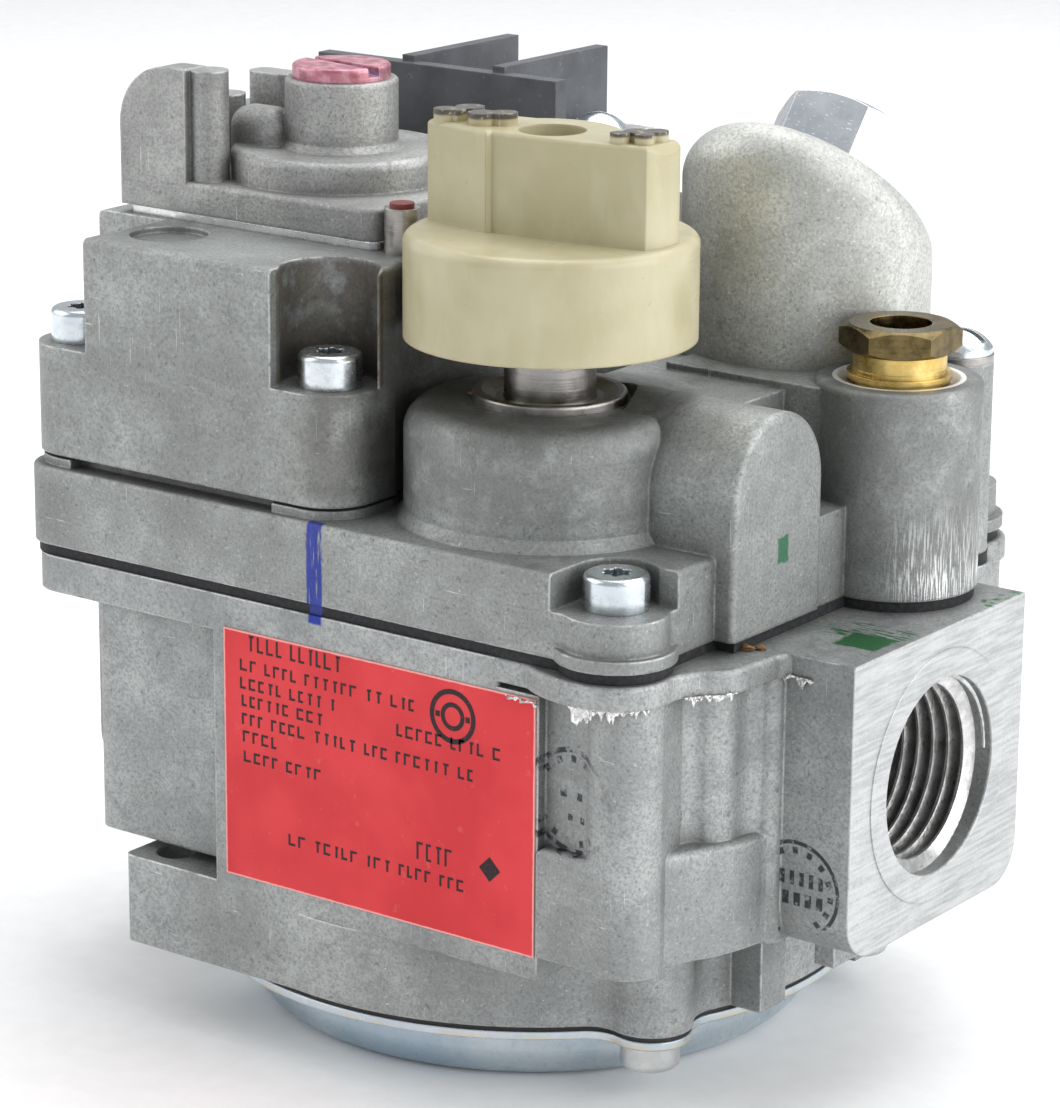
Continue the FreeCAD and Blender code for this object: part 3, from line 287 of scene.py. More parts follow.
def cast_metal(name, seed, tone, marks=None, grain=0.055, rub=0.5):
    """Die-cast aluminium: sandy grain, cloudy tone, rubbed edges, painted shade in the corners and
    scratches.
    """
    p = Paint(name, Metallic=0.82, Specular_IOR_Level=0.5)
    cloud = p.noise(14.0, 4, 0.6, seed=seed)
    blotch = p.noise(3.2, 5, 0.65, seed=seed + 1, distortion=0.6)
    sand = p.noise(0.34, 3, 0.7, seed=seed + 2)
    flow = p.noise(5.0, 4, 0.6, stretch=(0.35, 0.35, 1.6), seed=seed + 3, distortion=0.8)
    dark = [c * 0.70 for c in tone]
    light = [min(c * 1.22, 0.95) for c in tone]
    colour = p.mix(p.ramp(cloud, 0.3, 0.7), dark, light)
    colour = p.mix(p.ramp(blotch, 0.35, 0.68, 0.0, 0.55), colour, [c * 0.95 for c in tone])
    colour = p.mix(p.ramp(flow, 0.52, 0.72, 0.0, 0.35), colour, light)
    colour = p.mix(p.ramp(sand, 0.40, 0.66, 0.0, 0.55), colour, [c * 0.52 for c in tone])
    glint = p.ramp(p.noise(0.42, 2, 0.6, seed=seed + 9), 0.62, 0.72, 0.0, 0.45)
    colour = p.mix(glint, colour, [min(c * 1.5, 0.95) for c in tone])
    speck = p.ramp(p.noise(0.55, 2, 0.5, seed=seed + 4), 0.64, 0.72)
    colour = p.mix(p.sums("MULTIPLY", speck, 0.50), colour, [c * 0.34 for c in tone])
    # painted shade: darker in corners and recesses, from an ambient occlusion node
    hollow_shade = p.hollow(3.0)
    colour = p.mix(p.sums("MULTIPLY", hollow_shade, 0.45), colour, (0.10, 0.095, 0.085))
    worn = p.all_of(p.edges(0.4), p.ramp(p.noise(1.6, 4, 0.6, seed=seed + 5), 0.32, 0.55))
    worn = p.sums("MULTIPLY", worn, p.sums("SUBTRACT", 1.0, hollow_shade))
    colour = p.mix(p.sums("MULTIPLY", worn, 0.75), colour, (0.86, 0.86, 0.86))
    fine = p.noise(2.4, 2, 0.5, stretch=(9, 9, 0.28), seed=seed + 6)
    cross = p.noise(3.0, 2, 0.5, stretch=(0.5, 7, 7), seed=seed + 7, distortion=0.2)
    scored = p.any_of(p.ramp(fine, 0.70, 0.75), p.ramp(cross, 0.71, 0.76))
    where = p.ramp(p.noise(9.0, 2, 0.5, seed=seed + 8), 0.48, 0.62)
    scored = p.sums("MULTIPLY", p.sums("MULTIPLY", scored, where), rub)
    colour = p.mix(scored, colour, (0.84, 0.84, 0.83))
    rough = p.blend(p.ramp(blotch, 0.3, 0.7), 0.50, 0.68)
    rough = p.blend(worn, rough, 0.27)
    rough = p.blend(scored, rough, 0.3)
    if marks:
        colour, rough = marks(p, colour, rough)
    swell = p.bump(blotch, 0.10, p.soft_normal(0.4))
    normal = p.bump(p.sums("SUBTRACT", sand, p.sums("MULTIPLY", scored, 0.4)), grain, swell)
    return p.finish(colour, rough, normal)


def ring_mask(p, a, b, centre, radius, half_width):
    """Thin ring in the plane of two coordinates, with each point's offsets and distance from its centre."""
    da = p.sums("SUBTRACT", a, centre[0])
    db = p.sums("SUBTRACT", b, centre[1])
    distance = p.sums("SQRT", p.sums("ADD", p.sums("MULTIPLY", da, da), p.sums("MULTIPLY", db, db)))
    return p.band(distance, radius - half_width, radius + half_width, 0.06), da, db, distance


def ink_dashes(p, da, db, distance, radius, rows):
    """Short bars in rows inside a round stamp, and a ring of ticks near its rim."""
    inside = p.ramp(distance, radius * 0.70, radius * 0.74, 1.0, 0.0)
    total = None
    for height, pitch, fill, thick in rows:
        strip = p.band(db, height - thick, height + thick, 0.06)
        steps = p.sums("FRACT", p.sums("DIVIDE", p.sums("ADD", da, 50.3), pitch))
        bar = p.sums("MULTIPLY", strip, p.band(steps, 0.12, fill, 0.04))
        total = bar if total is None else p.sums("MAXIMUM", total, bar)
    total = p.sums("MULTIPLY", total, inside)
    angle = p.sums("ARCTAN2", db, da)
    ticks = p.sums("FRACT", p.sums("MULTIPLY", p.sums("ADD", angle, 4.0), 2.4))
    rim = p.band(distance, radius * 0.76, radius * 0.90, 0.08)
    return p.sums("MAXIMUM", total, p.sums("MULTIPLY", rim, p.band(ticks, 0.25, 0.62, 0.05)))


def body_marks(p, colour, rough):
    """Ink stamps, green paint and a marker stroke on the lower casting."""
    worn_ink = p.ramp(p.noise(0.9, 4, 0.7, seed=41), 0.34, 0.5)
    front = p.band(p.y, BLOCK_FRONT_Y - 0.2, BLOCK_FRONT_Y + 0.2, 0.05)
    ring, da, db, distance = ring_mask(p, p.x, p.z, BLOCK_STAMP, BLOCK_STAMP_R, 0.22)
    dashes = ink_dashes(p, da, db, distance, BLOCK_STAMP_R, ((1.2, 1.15, 0.6, 0.75), (-1.0, 1.35, 0.7, 0.7)))
    stamp = p.any_of(ring, dashes)
    stamp = p.all_of(stamp, front, worn_ink, p.ramp(p.x, -11.9, -11.2))
    wall = p.ramp(p.y, -32.0, -31.0, 1.0, 0.0)
    arc, da, db, distance = ring_mask(p, p.x, p.z, WALL_STAMP, WALL_STAMP_R, 0.28)
    dashes = ink_dashes(p, da, db, distance, WALL_STAMP_R, ((0.6, 2.1, 0.5, 0.4), (-1.8, 1.7, 0.5, 0.35)))
    part = p.any_of(arc, dashes)
    part = p.all_of(part, wall, worn_ink, p.ramp(p.noise(2.6, 3, 0.6, seed=43), 0.40, 0.52),
                    p.ramp(p.x, -20.5, -18.0, 1.0, 0.35))
    ink = p.any_of(stamp, part)
    colour = p.mix(p.sums("MULTIPLY", ink, 0.9), colour, (0.025, 0.027, 0.035))
    blue = p.all_of(p.patch({"x": (STROKE_LEFT, STROKE_LEFT + 1.7), "z": (14.9, 16.2)}, 0.15, 0.25, 1.5, 44),
                    p.ramp(p.y, -35.0, -34.4, 1.0, 0.0))
    colour = p.mix(blue, colour, (0.03, 0.05, 0.30))
    top = p.ramp(p.z, SPLIT_Z - 0.2, SPLIT_Z - 0.1)
    main = p.patch({"x": (-6.6, -1.6), "y": (-11.2, -6.6)}, 0.25, 0.5, 1.6, 45)
    thin = p.patch({"x": (-11.6, -1.2), "y": (-8.2, -3.2)}, 0.4, 0.8, 1.2, 46)
    streaks = p.ramp(p.noise(0.8, 3, 0.5, stretch=(0.5, 3, 1), seed=47), 0.52, 0.60)
    corner = p.patch({"x": (-2.2, 0.4), "y": (9.5, 16.8)}, 0.3, 0.6, 1.4, 48)
    spots = p.ramp(p.noise(1.2, 3, 0.6, seed=49), 0.50, 0.58)
    green = p.all_of(p.any_of(main, p.all_of(thin, streaks), p.all_of(corner, spots)), top)
    colour = p.mix(p.sums("MULTIPLY", green, 0.92), colour, (0.02, 0.17, 0.045))
    rough = p.blend(p.any_of(ink, green, blue), rough, 0.45)
    milled = p.band(p.x, -0.3, 0.2, 0.05)
    face = p.ramp(p.noise(2.2, 3, 0.6, stretch=(0.2, 0.35, 5), seed=50), 0.35, 0.65, 0.35, 0.70)
    colour = p.mix(p.sums("MULTIPLY", milled, face), colour, (0.68, 0.69, 0.69))
    return colour, rough


def top_marks(p, colour, rough):
    """Painted shade on the turret and pilot boss, marker stroke, green dot, scraped patches and painted
    shadow in the front screw's pocket.
    """
    shade_tone = (0.15, 0.155, 0.15)
    # painted shade: a darker tone low on the turret and the pilot boss
    shaded_bosses = ((COCK, 14.0, 27.5, 0.62, 57), (PILOT, 7.4, 19.0, 0.80, 58))
    for centre, radius, foot, strength, seed in shaded_bosses:
        _, _, _, distance = ring_mask(p, p.x, p.y, centre, radius, 0.5)
        boss_shade = p.all_of(p.ramp(distance, radius + 0.6, radius + 2.6, 1.0, 0.0),
                        p.ramp(p.z, foot, foot + 1.5), p.ramp(p.z, 40.0, 41.0, 1.0, 0.0),
                        p.ramp(p.noise(3.5, 4, 0.65, seed=seed), 0.22, 0.55))
        colour = p.mix(p.sums("MULTIPLY", boss_shade, strength), colour, shade_tone)
    oily = p.all_of(p.ramp(p.x, -60.0, -53.5), p.ramp(p.x, -50.0, -49.0, 1.0, 0.0),
                    p.ramp(p.z, 27.0, 29.0), p.ramp(p.noise(5.0, 4, 0.65, seed=59), 0.28, 0.58))
    colour = p.mix(p.sums("MULTIPLY", oily, 0.6), colour, (0.13, 0.125, 0.11))
    streak = p.ramp(p.noise(1.2, 3, 0.6, stretch=(3, 1, 0.4), seed=51), 0.30, 0.46)
    blue = p.all_of(p.patch({"x": (-54.6, -52.6), "z": (16.0, 25.9)}, 0.12, 0.22, 2.2, 52),
                    p.ramp(p.y, -35.3, -34.9, 1.0, 0.0), streak)
    colour = p.mix(p.sums("MULTIPLY", blue, 0.92), colour, (0.03, 0.05, 0.32))
    dot = p.all_of(p.patch({"y": (-13.3, -11.4), "z": (23.5, 26.3)}, 0.15, 0.35, 1.2, 53),
                   p.band(p.x, -12.3, -11.7, 0.1))
    colour = p.mix(p.sums("MULTIPLY", dot, 0.85), colour, (0.03, 0.16, 0.08))
    ring, _, _, _ = ring_mask(p, p.x, p.y, PILOT, 6.2, 0.75)
    ring = p.all_of(ring, p.band(p.z, 37.8, 39.4, 0.2))
    colour = p.mix(p.sums("MULTIPLY", ring, 0.85), colour, (0.82, 0.82, 0.80))
    # painted shadow: a dark brownish band on the pocket wall round the front screw
    pocket_shadow, _, _, _ = ring_mask(p, p.x, p.y, FRONT_SCREW, 5.2, 0.35)
    pocket_shadow = p.all_of(pocket_shadow, p.band(p.z, 38.9, 50.6, 0.3), p.ramp(p.noise(3.0, 3, 0.6, seed=55), 0.3, 0.5))
    colour = p.mix(p.sums("MULTIPLY", pocket_shadow, 0.6), colour, (0.10, 0.075, 0.05))
    low = p.all_of(p.ramp(p.z, 17.0, 29.0, 1.0, 0.0), p.ramp(p.x, -9.0, -5.5))
    lines = p.ramp(p.noise(1.0, 3, 0.55, stretch=(6, 6, 0.35), seed=54), 0.48, 0.62)
    scraped = p.sums("MULTIPLY", low, lines)
    colour = p.mix(p.sums("MULTIPLY", scraped, 0.8), colour, (0.85, 0.85, 0.85))
    rough = p.blend(scraped, rough, 0.3)
    return colour, rough


def gasket_black():
    p = Paint("gasket_black", Specular_IOR_Level=0.35)
    grain = p.noise(0.5, 3, 0.6, seed=3)
    colour = p.mix(p.ramp(grain, 0.35, 0.7), (0.010, 0.010, 0.012), (0.032, 0.032, 0.035))
    blue = p.all_of(p.patch({"x": (STROKE_LEFT, STROKE_LEFT + 1.6)}, 0.15, 0.25, 1.5, 44),
                    p.ramp(p.y, -34.4, -34.0, 1.0, 0.0))
    colour = p.mix(p.sums("MULTIPLY", blue, 0.8), colour, (0.03, 0.05, 0.28))
    return p.finish(colour, p.ramp(grain, 0.2, 0.8, 0.55, 0.8), p.bump(grain, 0.03, p.soft_normal(0.15)))


def plated(name, tone, tint, seed, rough=(0.2, 0.38), spangle=1.6, lift=0.02):
    """Zinc-plated steel: bright, a little blue or straw, with clouds, fine scratches and dull spots."""
    p = Paint(name, Metallic=1.0)
    cloud = p.noise(spangle * 3, 4, 0.6, seed=seed)
    small = p.noise(spangle * 0.5, 4, 0.6, seed=seed + 1)
    colour = p.mix(p.ramp(cloud, 0.35, 0.66), tone, tint)
    colour = p.mix(p.ramp(small, 0.5, 0.75, 0.0, 0.35), colour, [c * 0.72 for c in tone])
    edge = p.edges(0.25)
    colour = p.mix(p.sums("MULTIPLY", edge, 0.5), colour, (0.93, 0.94, 0.95))
    # painted shade: darker in corners and recesses, from an ambient occlusion node
    hollow_shade = p.hollow(0.9, 0.25, 0.8)
    colour = p.mix(p.sums("MULTIPLY", hollow_shade, 0.5), colour, (0.08, 0.08, 0.08))
    hair = p.ramp(p.noise(0.8, 2, 0.5, stretch=(1, 6, 2), seed=seed + 2, distortion=0.4), 0.66, 0.72)
    roughness = p.blend(p.ramp(small, 0.3, 0.7), *rough)
    roughness = p.blend(p.sums("MULTIPLY", hair, 0.6), roughness, rough[1] + 0.15)
    height = p.sums("ADD", small, p.sums("MULTIPLY", hair, -0.4))
    return p.finish(colour, roughness, p.bump(height, lift, p.soft_normal(0.2)))


def pan_metal():
    """Pressed pan: blue chromate over zinc, with a thin straw-coloured line at the rim."""
    p = Paint("pan_blue_zinc", Metallic=1.0)
    cloud = p.noise(18.0, 4, 0.6, seed=61)
    small = p.noise(1.4, 4, 0.65, seed=62)
    colour = p.mix(p.ramp(cloud, 0.34, 0.66), (0.40, 0.50, 0.58), (0.60, 0.66, 0.70))
    colour = p.mix(p.ramp(small, 0.5, 0.75, 0.0, 0.4), colour, (0.33, 0.42, 0.48))
    rim = p.all_of(p.band(p.z, -27.5, -27.0, 0.12), p.ramp(p.noise(6.0, 3, 0.6, seed=63), 0.40, 0.55))
    colour = p.mix(p.sums("MULTIPLY", rim, 0.6), colour, (0.62, 0.50, 0.24))
    grey = p.ramp(p.z, -30.2, -28.0)
    colour = p.mix(p.sums("MULTIPLY", grey, 0.35), colour, (0.70, 0.73, 0.74))
    drawn = p.noise(1.2, 3, 0.5, stretch=(1, 1, 0.25), seed=64)
    roughness = p.blend(p.ramp(small, 0.3, 0.7), 0.26, 0.42)
    height = p.sums("ADD", drawn, small)
    return p.finish(colour, roughness, p.bump(height, 0.03, p.soft_normal(0.3)))


def turned(name, tone, seed, rough, dark=0.6, groove=0.22):
    """Turned bar: fine rings about the upright axis, with stains."""
    p = Paint(name, Metallic=1.0)
    rings = p.noise(groove, 2, 0.5, stretch=(0.02, 0.02, 1), seed=seed)
    stain = p.noise(2.2, 4, 0.65, seed=seed + 1)
    colour = p.mix(p.ramp(stain, 0.34, 0.68), [c * dark for c in tone], tone)
    colour = p.mix(p.ramp(rings, 0.3, 0.7, 0.0, 0.3), colour, [min(c * 1.25, 1) for c in tone])
    edge = p.edges(0.2)
    colour = p.mix(p.sums("MULTIPLY", edge, 0.45), colour, [min(c * 1.5 + 0.08, 1) for c in tone])
    roughness = p.blend(p.ramp(stain, 0.3, 0.7), rough, rough + 0.16)
    return p.finish(colour, roughness, p.bump(p.sums("ADD", rings, stain), 0.02, p.soft_normal(0.15)))


def brass_nut():
    """Tarnished hexagon over a bright, freshly cut neck and thread."""
    p = Paint("brass_tarnished", Metallic=1.0)
    stain = p.noise(1.7, 4, 0.65, seed=71)
    fine = p.noise(0.25, 2, 0.5, stretch=(0.02, 0.02, 1), seed=72)
    dull = p.mix(p.ramp(stain, 0.32, 0.68), (0.09, 0.068, 0.030), (0.20, 0.150, 0.066))
    bright = p.mix(p.ramp(stain, 0.35, 0.7), (0.60, 0.42, 0.13), (0.82, 0.62, 0.24))
    neck = p.ramp(p.z, 41.6, 41.8, 1.0, 0.0)
    colour = p.mix(neck, dull, bright)
    edge = p.sums("MULTIPLY", p.edges(0.22), 0.45)
    colour = p.mix(edge, colour, (0.78, 0.60, 0.28))
    # painted shade: near-black brown in the nut's hollows, from an ambient occlusion node
    colour = p.mix(p.sums("MULTIPLY", p.hollow(1.2, 0.2, 0.8), 0.55), colour, (0.05, 0.032, 0.012))
    roughness = p.blend(p.ramp(stain, 0.3, 0.7), 0.24, 0.40)
    return p.finish(colour, roughness, p.bump(p.sums("ADD", fine, stain), 0.02, p.soft_normal(0.18)))


def knob_cream():
    """Moulded cream plastic with inked marks on top, handling scuffs and brownish painted shade in the
    corners.
    """
    p = Paint("knob_cream", Subsurface_Weight=0.12, Subsurface_Scale=0.0012, Coat_Weight=0.05)
    cloud = p.noise(9.0, 3, 0.5, seed=81)
    grain = p.noise(0.4, 2, 0.5, seed=82)
    colour = p.mix(p.ramp(cloud, 0.35, 0.65), (0.43, 0.39, 0.24), (0.49, 0.45, 0.295))
    flow = p.ramp(p.noise(2.5, 3, 0.5, stretch=(1, 1, 0.4), seed=83), 0.5, 0.7, 0.0, 0.3)
    colour = p.mix(flow, colour, (0.54, 0.51, 0.355))
    # painted shade: darker, browner in corners and recesses, from an ambient occlusion node
    hollow_shade = p.hollow(1.6, 0.3, 0.9)
    colour = p.mix(p.sums("MULTIPLY", hollow_shade, 0.35), colour, (0.42, 0.32, 0.14))
    specks = p.ramp(p.noise(0.8, 2, 0.5, seed=84), 0.72, 0.76)
    colour = p.mix(p.sums("MULTIPLY", specks, 0.3), colour, (0.35, 0.28, 0.16))
    ink = p.all_of(p.ramp(p.z, 66.0, 66.3), p.ramp(p.noise(0.7, 3, 0.6, seed=85), 0.30, 0.45))
    colour = p.mix(p.sums("MULTIPLY", ink, 0.9), colour, (0.035, 0.03, 0.035))
    scuff = p.ramp(p.noise(1.2, 3, 0.5, stretch=(0.6, 0.6, 4), seed=86), 0.55, 0.7)
    roughness = p.blend(scuff, 0.30, 0.46)
    height = p.sums("ADD", p.sums("MULTIPLY", grain, 0.6), cloud)
    return p.finish(colour, roughness, p.bump(height, 0.03, p.soft_normal(0.35)))


def cap_red():
    """Pink-red dyed cap with turning rings and a bluish slot."""
    p = Paint("cap_pink_red", Metallic=0.75)
    stain = p.noise(1.5, 4, 0.6, seed=91)
    colour = p.mix(p.ramp(stain, 0.35, 0.68), (0.46, 0.17, 0.22), (0.66, 0.36, 0.41))
    slot = p.all_of(p.ramp(p.z, 67.1, 67.3, 1.0, 0.0), p.ramp(p.z, 66.4, 66.6))
    middle = p.band(p.wobbled(p.y, 0.05, 2, 92), -8.8, -6.8, 0.1)
    colour = p.mix(p.all_of(slot, middle, p.ramp(p.hollow(1.0), 0.1, 0.4)), colour, (0.30, 0.40, 0.62))
    colour = p.mix(p.sums("MULTIPLY", p.edges(0.2), 0.5), colour, (0.80, 0.48, 0.52))
    rings = p.noise(0.2, 2, 0.5, stretch=(0.02, 0.02, 1), seed=93)
    roughness = p.blend(p.ramp(stain, 0.3, 0.7), 0.30, 0.48)
    return p.finish(colour, roughness, p.bump(rings, 0.02, p.soft_normal(0.2)))


def moulded(name, tone, seed, rough=0.5, lift=0.02):
    """Moulded plastic or compound with a fine texture, pale scuffs and grime."""
    p = Paint(name, Specular_IOR_Level=0.45)
    cloud = p.noise(6.0, 3, 0.5, seed=seed)
    grain = p.noise(0.3, 3, 0.6, seed=seed + 1)
    colour = p.mix(p.ramp(cloud, 0.35, 0.65), [c * 0.8 for c in tone], [min(1, c * 1.2) for c in tone])
    rub = p.all_of(p.edges(0.3), p.ramp(p.noise(1.2, 3, 0.6, seed=seed + 2), 0.4, 0.6))
    colour = p.mix(p.sums("MULTIPLY", rub, 0.5), colour, [min(1, c * 1.9 + 0.05) for c in tone])
    dust = p.ramp(p.noise(1.0, 4, 0.7, seed=seed + 3), 0.6, 0.75, 0.0, 0.2)
    colour = p.mix(dust, colour, (0.5, 0.5, 0.48))
    roughness = p.ramp(grain, 0.2, 0.8, rough - 0.08, rough + 0.12)
    return p.finish(colour, roughness, p.bump(grain, lift, p.soft_normal(0.25)))


def label_paper():
    """Printed red sticker: slightly uneven colour, paper tooth, a pale cut edge and small creases."""
    p = Paint("label_red_print", Specular_IOR_Level=0.3)
    tooth = p.noise(0.25, 3, 0.6, seed=101)
    cloud = p.noise(8.0, 3, 0.5, seed=102)
    colour = p.mix(p.ramp(cloud, 0.3, 0.7), (0.60, 0.028, 0.036), (0.70, 0.045, 0.052))
    cut_edge = 0.18
    inside = {"x": (LABEL_X[0] + cut_edge, LABEL_X[1] - cut_edge),
              "z": (LABEL_Z[0] + cut_edge, LABEL_Z[1] - cut_edge)}
    inner = p.patch(inside, 0.06, 0.08, 1.0, 103)
    colour = p.mix(inner, (0.85, 0.35, 0.33), colour)
    fade = p.ramp(p.noise(1.4, 4, 0.7, seed=104), 0.62, 0.72, 0.0, 0.18)
    colour = p.mix(fade, colour, (0.90, 0.25, 0.22))
    crease = p.noise(5.0, 2, 0.5, stretch=(0.4, 1, 1.4), seed=105)
    height = p.sums("ADD", p.sums("MULTIPLY", tooth, 0.25), crease)
    return p.finish(colour, p.ramp(tooth, 0.2, 0.8, 0.42, 0.58), p.bump(height, 0.05))


def ink(name, tone, seed):
    p = Paint(name, Specular_IOR_Level=0.3)
    patchy = p.noise(0.35, 3, 0.7, seed=seed)
    colour = p.mix(p.ramp(patchy, 0.55, 0.75, 0.0, 0.6), tone, (0.30, 0.03, 0.035))
    return p.finish(colour, p.ramp(patchy, 0.2, 0.8, 0.45, 0.65), p.bump(patchy, 0.01))


def coil_winding():
    p = Paint("coil_wire", Metallic=0.9)
    turns = p.node("ShaderNodeTexWave")
    turns.bands_direction = "Z"
    p.feed(turns.inputs["Vector"], p.place)
    turns.inputs["Scale"].default_value = 1.2
    turns.inputs["Distortion"].default_value = 0.4
    stain = p.noise(2.0, 3, 0.6, seed=111)
    colour = p.mix(p.ramp(stain, 0.3, 0.7), (0.35, 0.13, 0.05), (0.60, 0.27, 0.11))
    return p.finish(colour, p.ramp(stain, 0.2, 0.8, 0.3, 0.45), p.bump(turns.outputs["Fac"], 0.06))


def sintered():
    p = Paint("sintered_bronze", Metallic=0.9)
    grains = p.cells(0.28, 121)
    colour = p.mix(p.ramp(grains, 0.1, 0.7), (0.55, 0.40, 0.19), (0.20, 0.13, 0.06))
    return p.finish(colour, p.ramp(grains, 0.1, 0.7, 0.4, 0.7), p.bump(grains, -0.08))


def thread_metal():
    """Freshly cut aluminium thread."""
    p = Paint("thread_cut_aluminium", Metallic=1.0)
    stain = p.noise(1.8, 4, 0.6, seed=131)
    chatter = p.noise(0.5, 2, 0.5, stretch=(4, 1, 1), seed=132)
    colour = p.mix(p.ramp(stain, 0.35, 0.68), (0.52, 0.52, 0.51), (0.80, 0.80, 0.79))
    # painted shade: darker in the thread's roots, from an ambient occlusion node
    colour = p.mix(p.sums("MULTIPLY", p.hollow(1.4, 0.2, 0.85), 0.5), colour, (0.16, 0.15, 0.14))
    roughness = p.ramp(chatter, 0.2, 0.8, 0.25, 0.42)
    return p.finish(colour, roughness, p.bump(chatter, 0.03, p.soft_normal(0.12)))


def torn_metal():
    """Bright torn edge of casting flash."""
    p = Paint("torn_flash_bright", Metallic=1.0)
    torn = p.noise(0.5, 4, 0.7, seed=171)
    colour = p.mix(p.ramp(torn, 0.35, 0.65), (0.50, 0.50, 0.49), (0.92, 0.92, 0.91))
    return p.finish(colour, p.ramp(torn, 0.2, 0.8, 0.18, 0.42), p.bump(torn, 0.12))


PAINTS = {
    "cast_body": cast_metal("cast_body_grey", 1, (0.385, 0.40, 0.395), body_marks),
    "cast_top": cast_metal("cast_top_grey", 11, (0.355, 0.37, 0.36), top_marks),
    "cast_cover": cast_metal("cast_cover_grey", 23, (0.41, 0.415, 0.405), rub=0.7),
    "gasket": gasket_black(),
    "steel_plate": plated("plate_steel", (0.62, 0.62, 0.63), (0.78, 0.78, 0.78), 31, (0.22, 0.40)),
    "zinc_pan": pan_metal(),
    "zinc": plated("bright_zinc", (0.56, 0.62, 0.66), (0.76, 0.80, 0.82), 35, (0.18, 0.30), 2.4, 0.012),
    "pan_screw_metal": plated("satin_screw", (0.55, 0.56, 0.56), (0.72, 0.72, 0.71), 37, (0.32, 0.48)),
    "dark_steel": turned("plain_steel", (0.42, 0.40, 0.38), 39, 0.26),
    "brass": brass_nut(),
    "knob_plastic": knob_cream(),
    "cap_red": cap_red(),
    "seal_red": moulded("sealing_compound", (0.22, 0.035, 0.03), 94, 0.45, 0.08),
    "terminal_plastic": moulded("terminal_grey", (0.085, 0.09, 0.10), 96, 0.48),
    "label_red": label_paper(),
    "rubber": moulded("rubber_black", (0.03, 0.03, 0.03), 98, 0.7),
    "spring_steel": turned("spring_wire", (0.5, 0.5, 0.51), 99, 0.25, 0.8, 0.4),
    "copper": coil_winding(),
    "sinter": sintered(),
}
THREAD_PAINT = thread_metal()
DOME_PAINT = cast_metal("cast_dome_grey", 15, (0.57, 0.58, 0.55), grain=0.035, rub=0.8)
NUT_PAINT = plated("unit_nut_zinc", (0.62, 0.67, 0.70), (0.84, 0.88, 0.90), 45, (0.16, 0.28), 2.4, 0.012)
FLASH_PAINT = torn_metal()
GLUE_PAINT = moulded("dried_sealant", (0.20, 0.105, 0.045), 161, 0.4, 0.06)
LABEL_INK = ink("label_black_ink", (0.018, 0.012, 0.014), 141)

NODE_PAINTS = {"power_unit_housing": DOME_PAINT, "power_unit_nut": NUT_PAINT}

for subpart in frame["record"]["subparts"]:
    paint = NODE_PAINTS.get(subpart["node"], PAINTS[subpart["material_slot"]])
    for place in NODES[subpart["node"]].material_slots:
        place.material = paint


def piece(name, mesh, body, paint, smooth=False):
    mesh.materials.append(paint)
    if smooth:
        mesh.shade_smooth()
    thing = bpy.data.objects.new(name, mesh)
    bpy.context.scene.collection.objects.link(thing)
    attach(thing, body)
    return thing


def lofted(name, sections):
    """Closed mesh through a run of sections, each a ring of points in millimetres."""
    mesh = bpy.data.meshes.new(name)
    shape = bmesh.new()
    rings = [[shape.verts.new(Vector(point) * MM) for point in ring] for ring in sections]
    for i in range(len(rings) - 1):
        a, b = rings[i], rings[i + 1]
        for j in range(len(a)):
            k = (j + 1) % len(a)
            shape.faces.new((a[j], a[k], b[k], b[j]))
    shape.faces.new(list(reversed(rings[0])))
    shape.faces.new(rings[-1])
    bmesh.ops.recalc_face_normals(shape, faces=shape.faces)
    shape.to_mesh(mesh)
    shape.free()
    return mesh


def port_thread(name, mouth_x, inward):
    """Helical ridge of a pipe thread, rising from the bore's wall and fading in at the mouth."""
    steps_per_turn = 64
    count = int(THREAD_TURNS * steps_per_turn)
    sections = []
    for i in range(count + 1):
        angle = 2 * math.pi * i / steps_per_turn
        along = THREAD_START + THREAD_PITCH * i / steps_per_turn
        fade = min(1.0, i / 40, (count - i) / 40)
        crest = PORT_ROOT_R - THREAD_DEPTH * max(fade, 0.06)
        base = PORT_ROOT_R + 0.06
        ring = []
        for offset, radius in ((-0.86, base), (-0.15, crest), (0.15, crest), (0.86, base)):
            depth = along + offset * (0.35 + 0.65 * fade)
            ring.append((mouth_x + inward * depth, radius * math.cos(angle), radius * math.sin(angle)))
        sections.append(ring)
    return piece(name, lofted(name, sections), "valve", THREAD_PAINT)


def add_box(shape, x0, x1, y0, y1, z0, z1, turn=0.0, centre=(0.0, 0.0)):
    """Thin box in a bmesh, turned about Y round a centre in X and Z."""
    corners = []
    for x, y, z in ((x0, y0, z0), (x1, y0, z0), (x1, y1, z0), (x0, y1, z0),
                    (x0, y0, z1), (x1, y0, z1), (x1, y1, z1), (x0, y1, z1)):
        dx, dz = x - centre[0], z - centre[1]
        px = centre[0] + dx * math.cos(turn) - dz * math.sin(turn)
        pz = centre[1] + dx * math.sin(turn) + dz * math.cos(turn)
        corners.append(shape.verts.new(Vector((px, y, pz)) * MM))
    for face in ((0, 1, 5, 4), (1, 2, 6, 5), (2, 3, 7, 6), (3, 0, 4, 7), (4, 5, 6, 7), (3, 2, 1, 0)):
        shape.faces.new([corners[i] for i in face])


def add_ring(shape, centre, outer, inner, y0, y1, start=0.0, end=2 * math.pi):
    """Flat ring or arc in the X-Z plane."""
    count = 40
    whole = end - start > 2 * math.pi - 0.01
    rows = []
    for i in range(count if whole else count + 1):
        angle = start + (end - start) * i / count
        c, s = math.cos(angle), math.sin(angle)
        rows.append([shape.verts.new(Vector((centre[0] + r * c, y, centre[1] + r * s)) * MM)
                     for r, y in ((outer, y0), (outer, y1), (inner, y1), (inner, y0))])
    pairs = [(rows[i], rows[(i + 1) % len(rows)]) for i in range(len(rows) if whole else len(rows) - 1)]
    for a, b in pairs:
        for j in range(4):
            shape.faces.new((a[j], a[(j + 1) % 4], b[(j + 1) % 4], b[j]))
    if not whole:
        shape.faces.new(list(reversed(rows[0])))
        shape.faces.new(rows[-1])


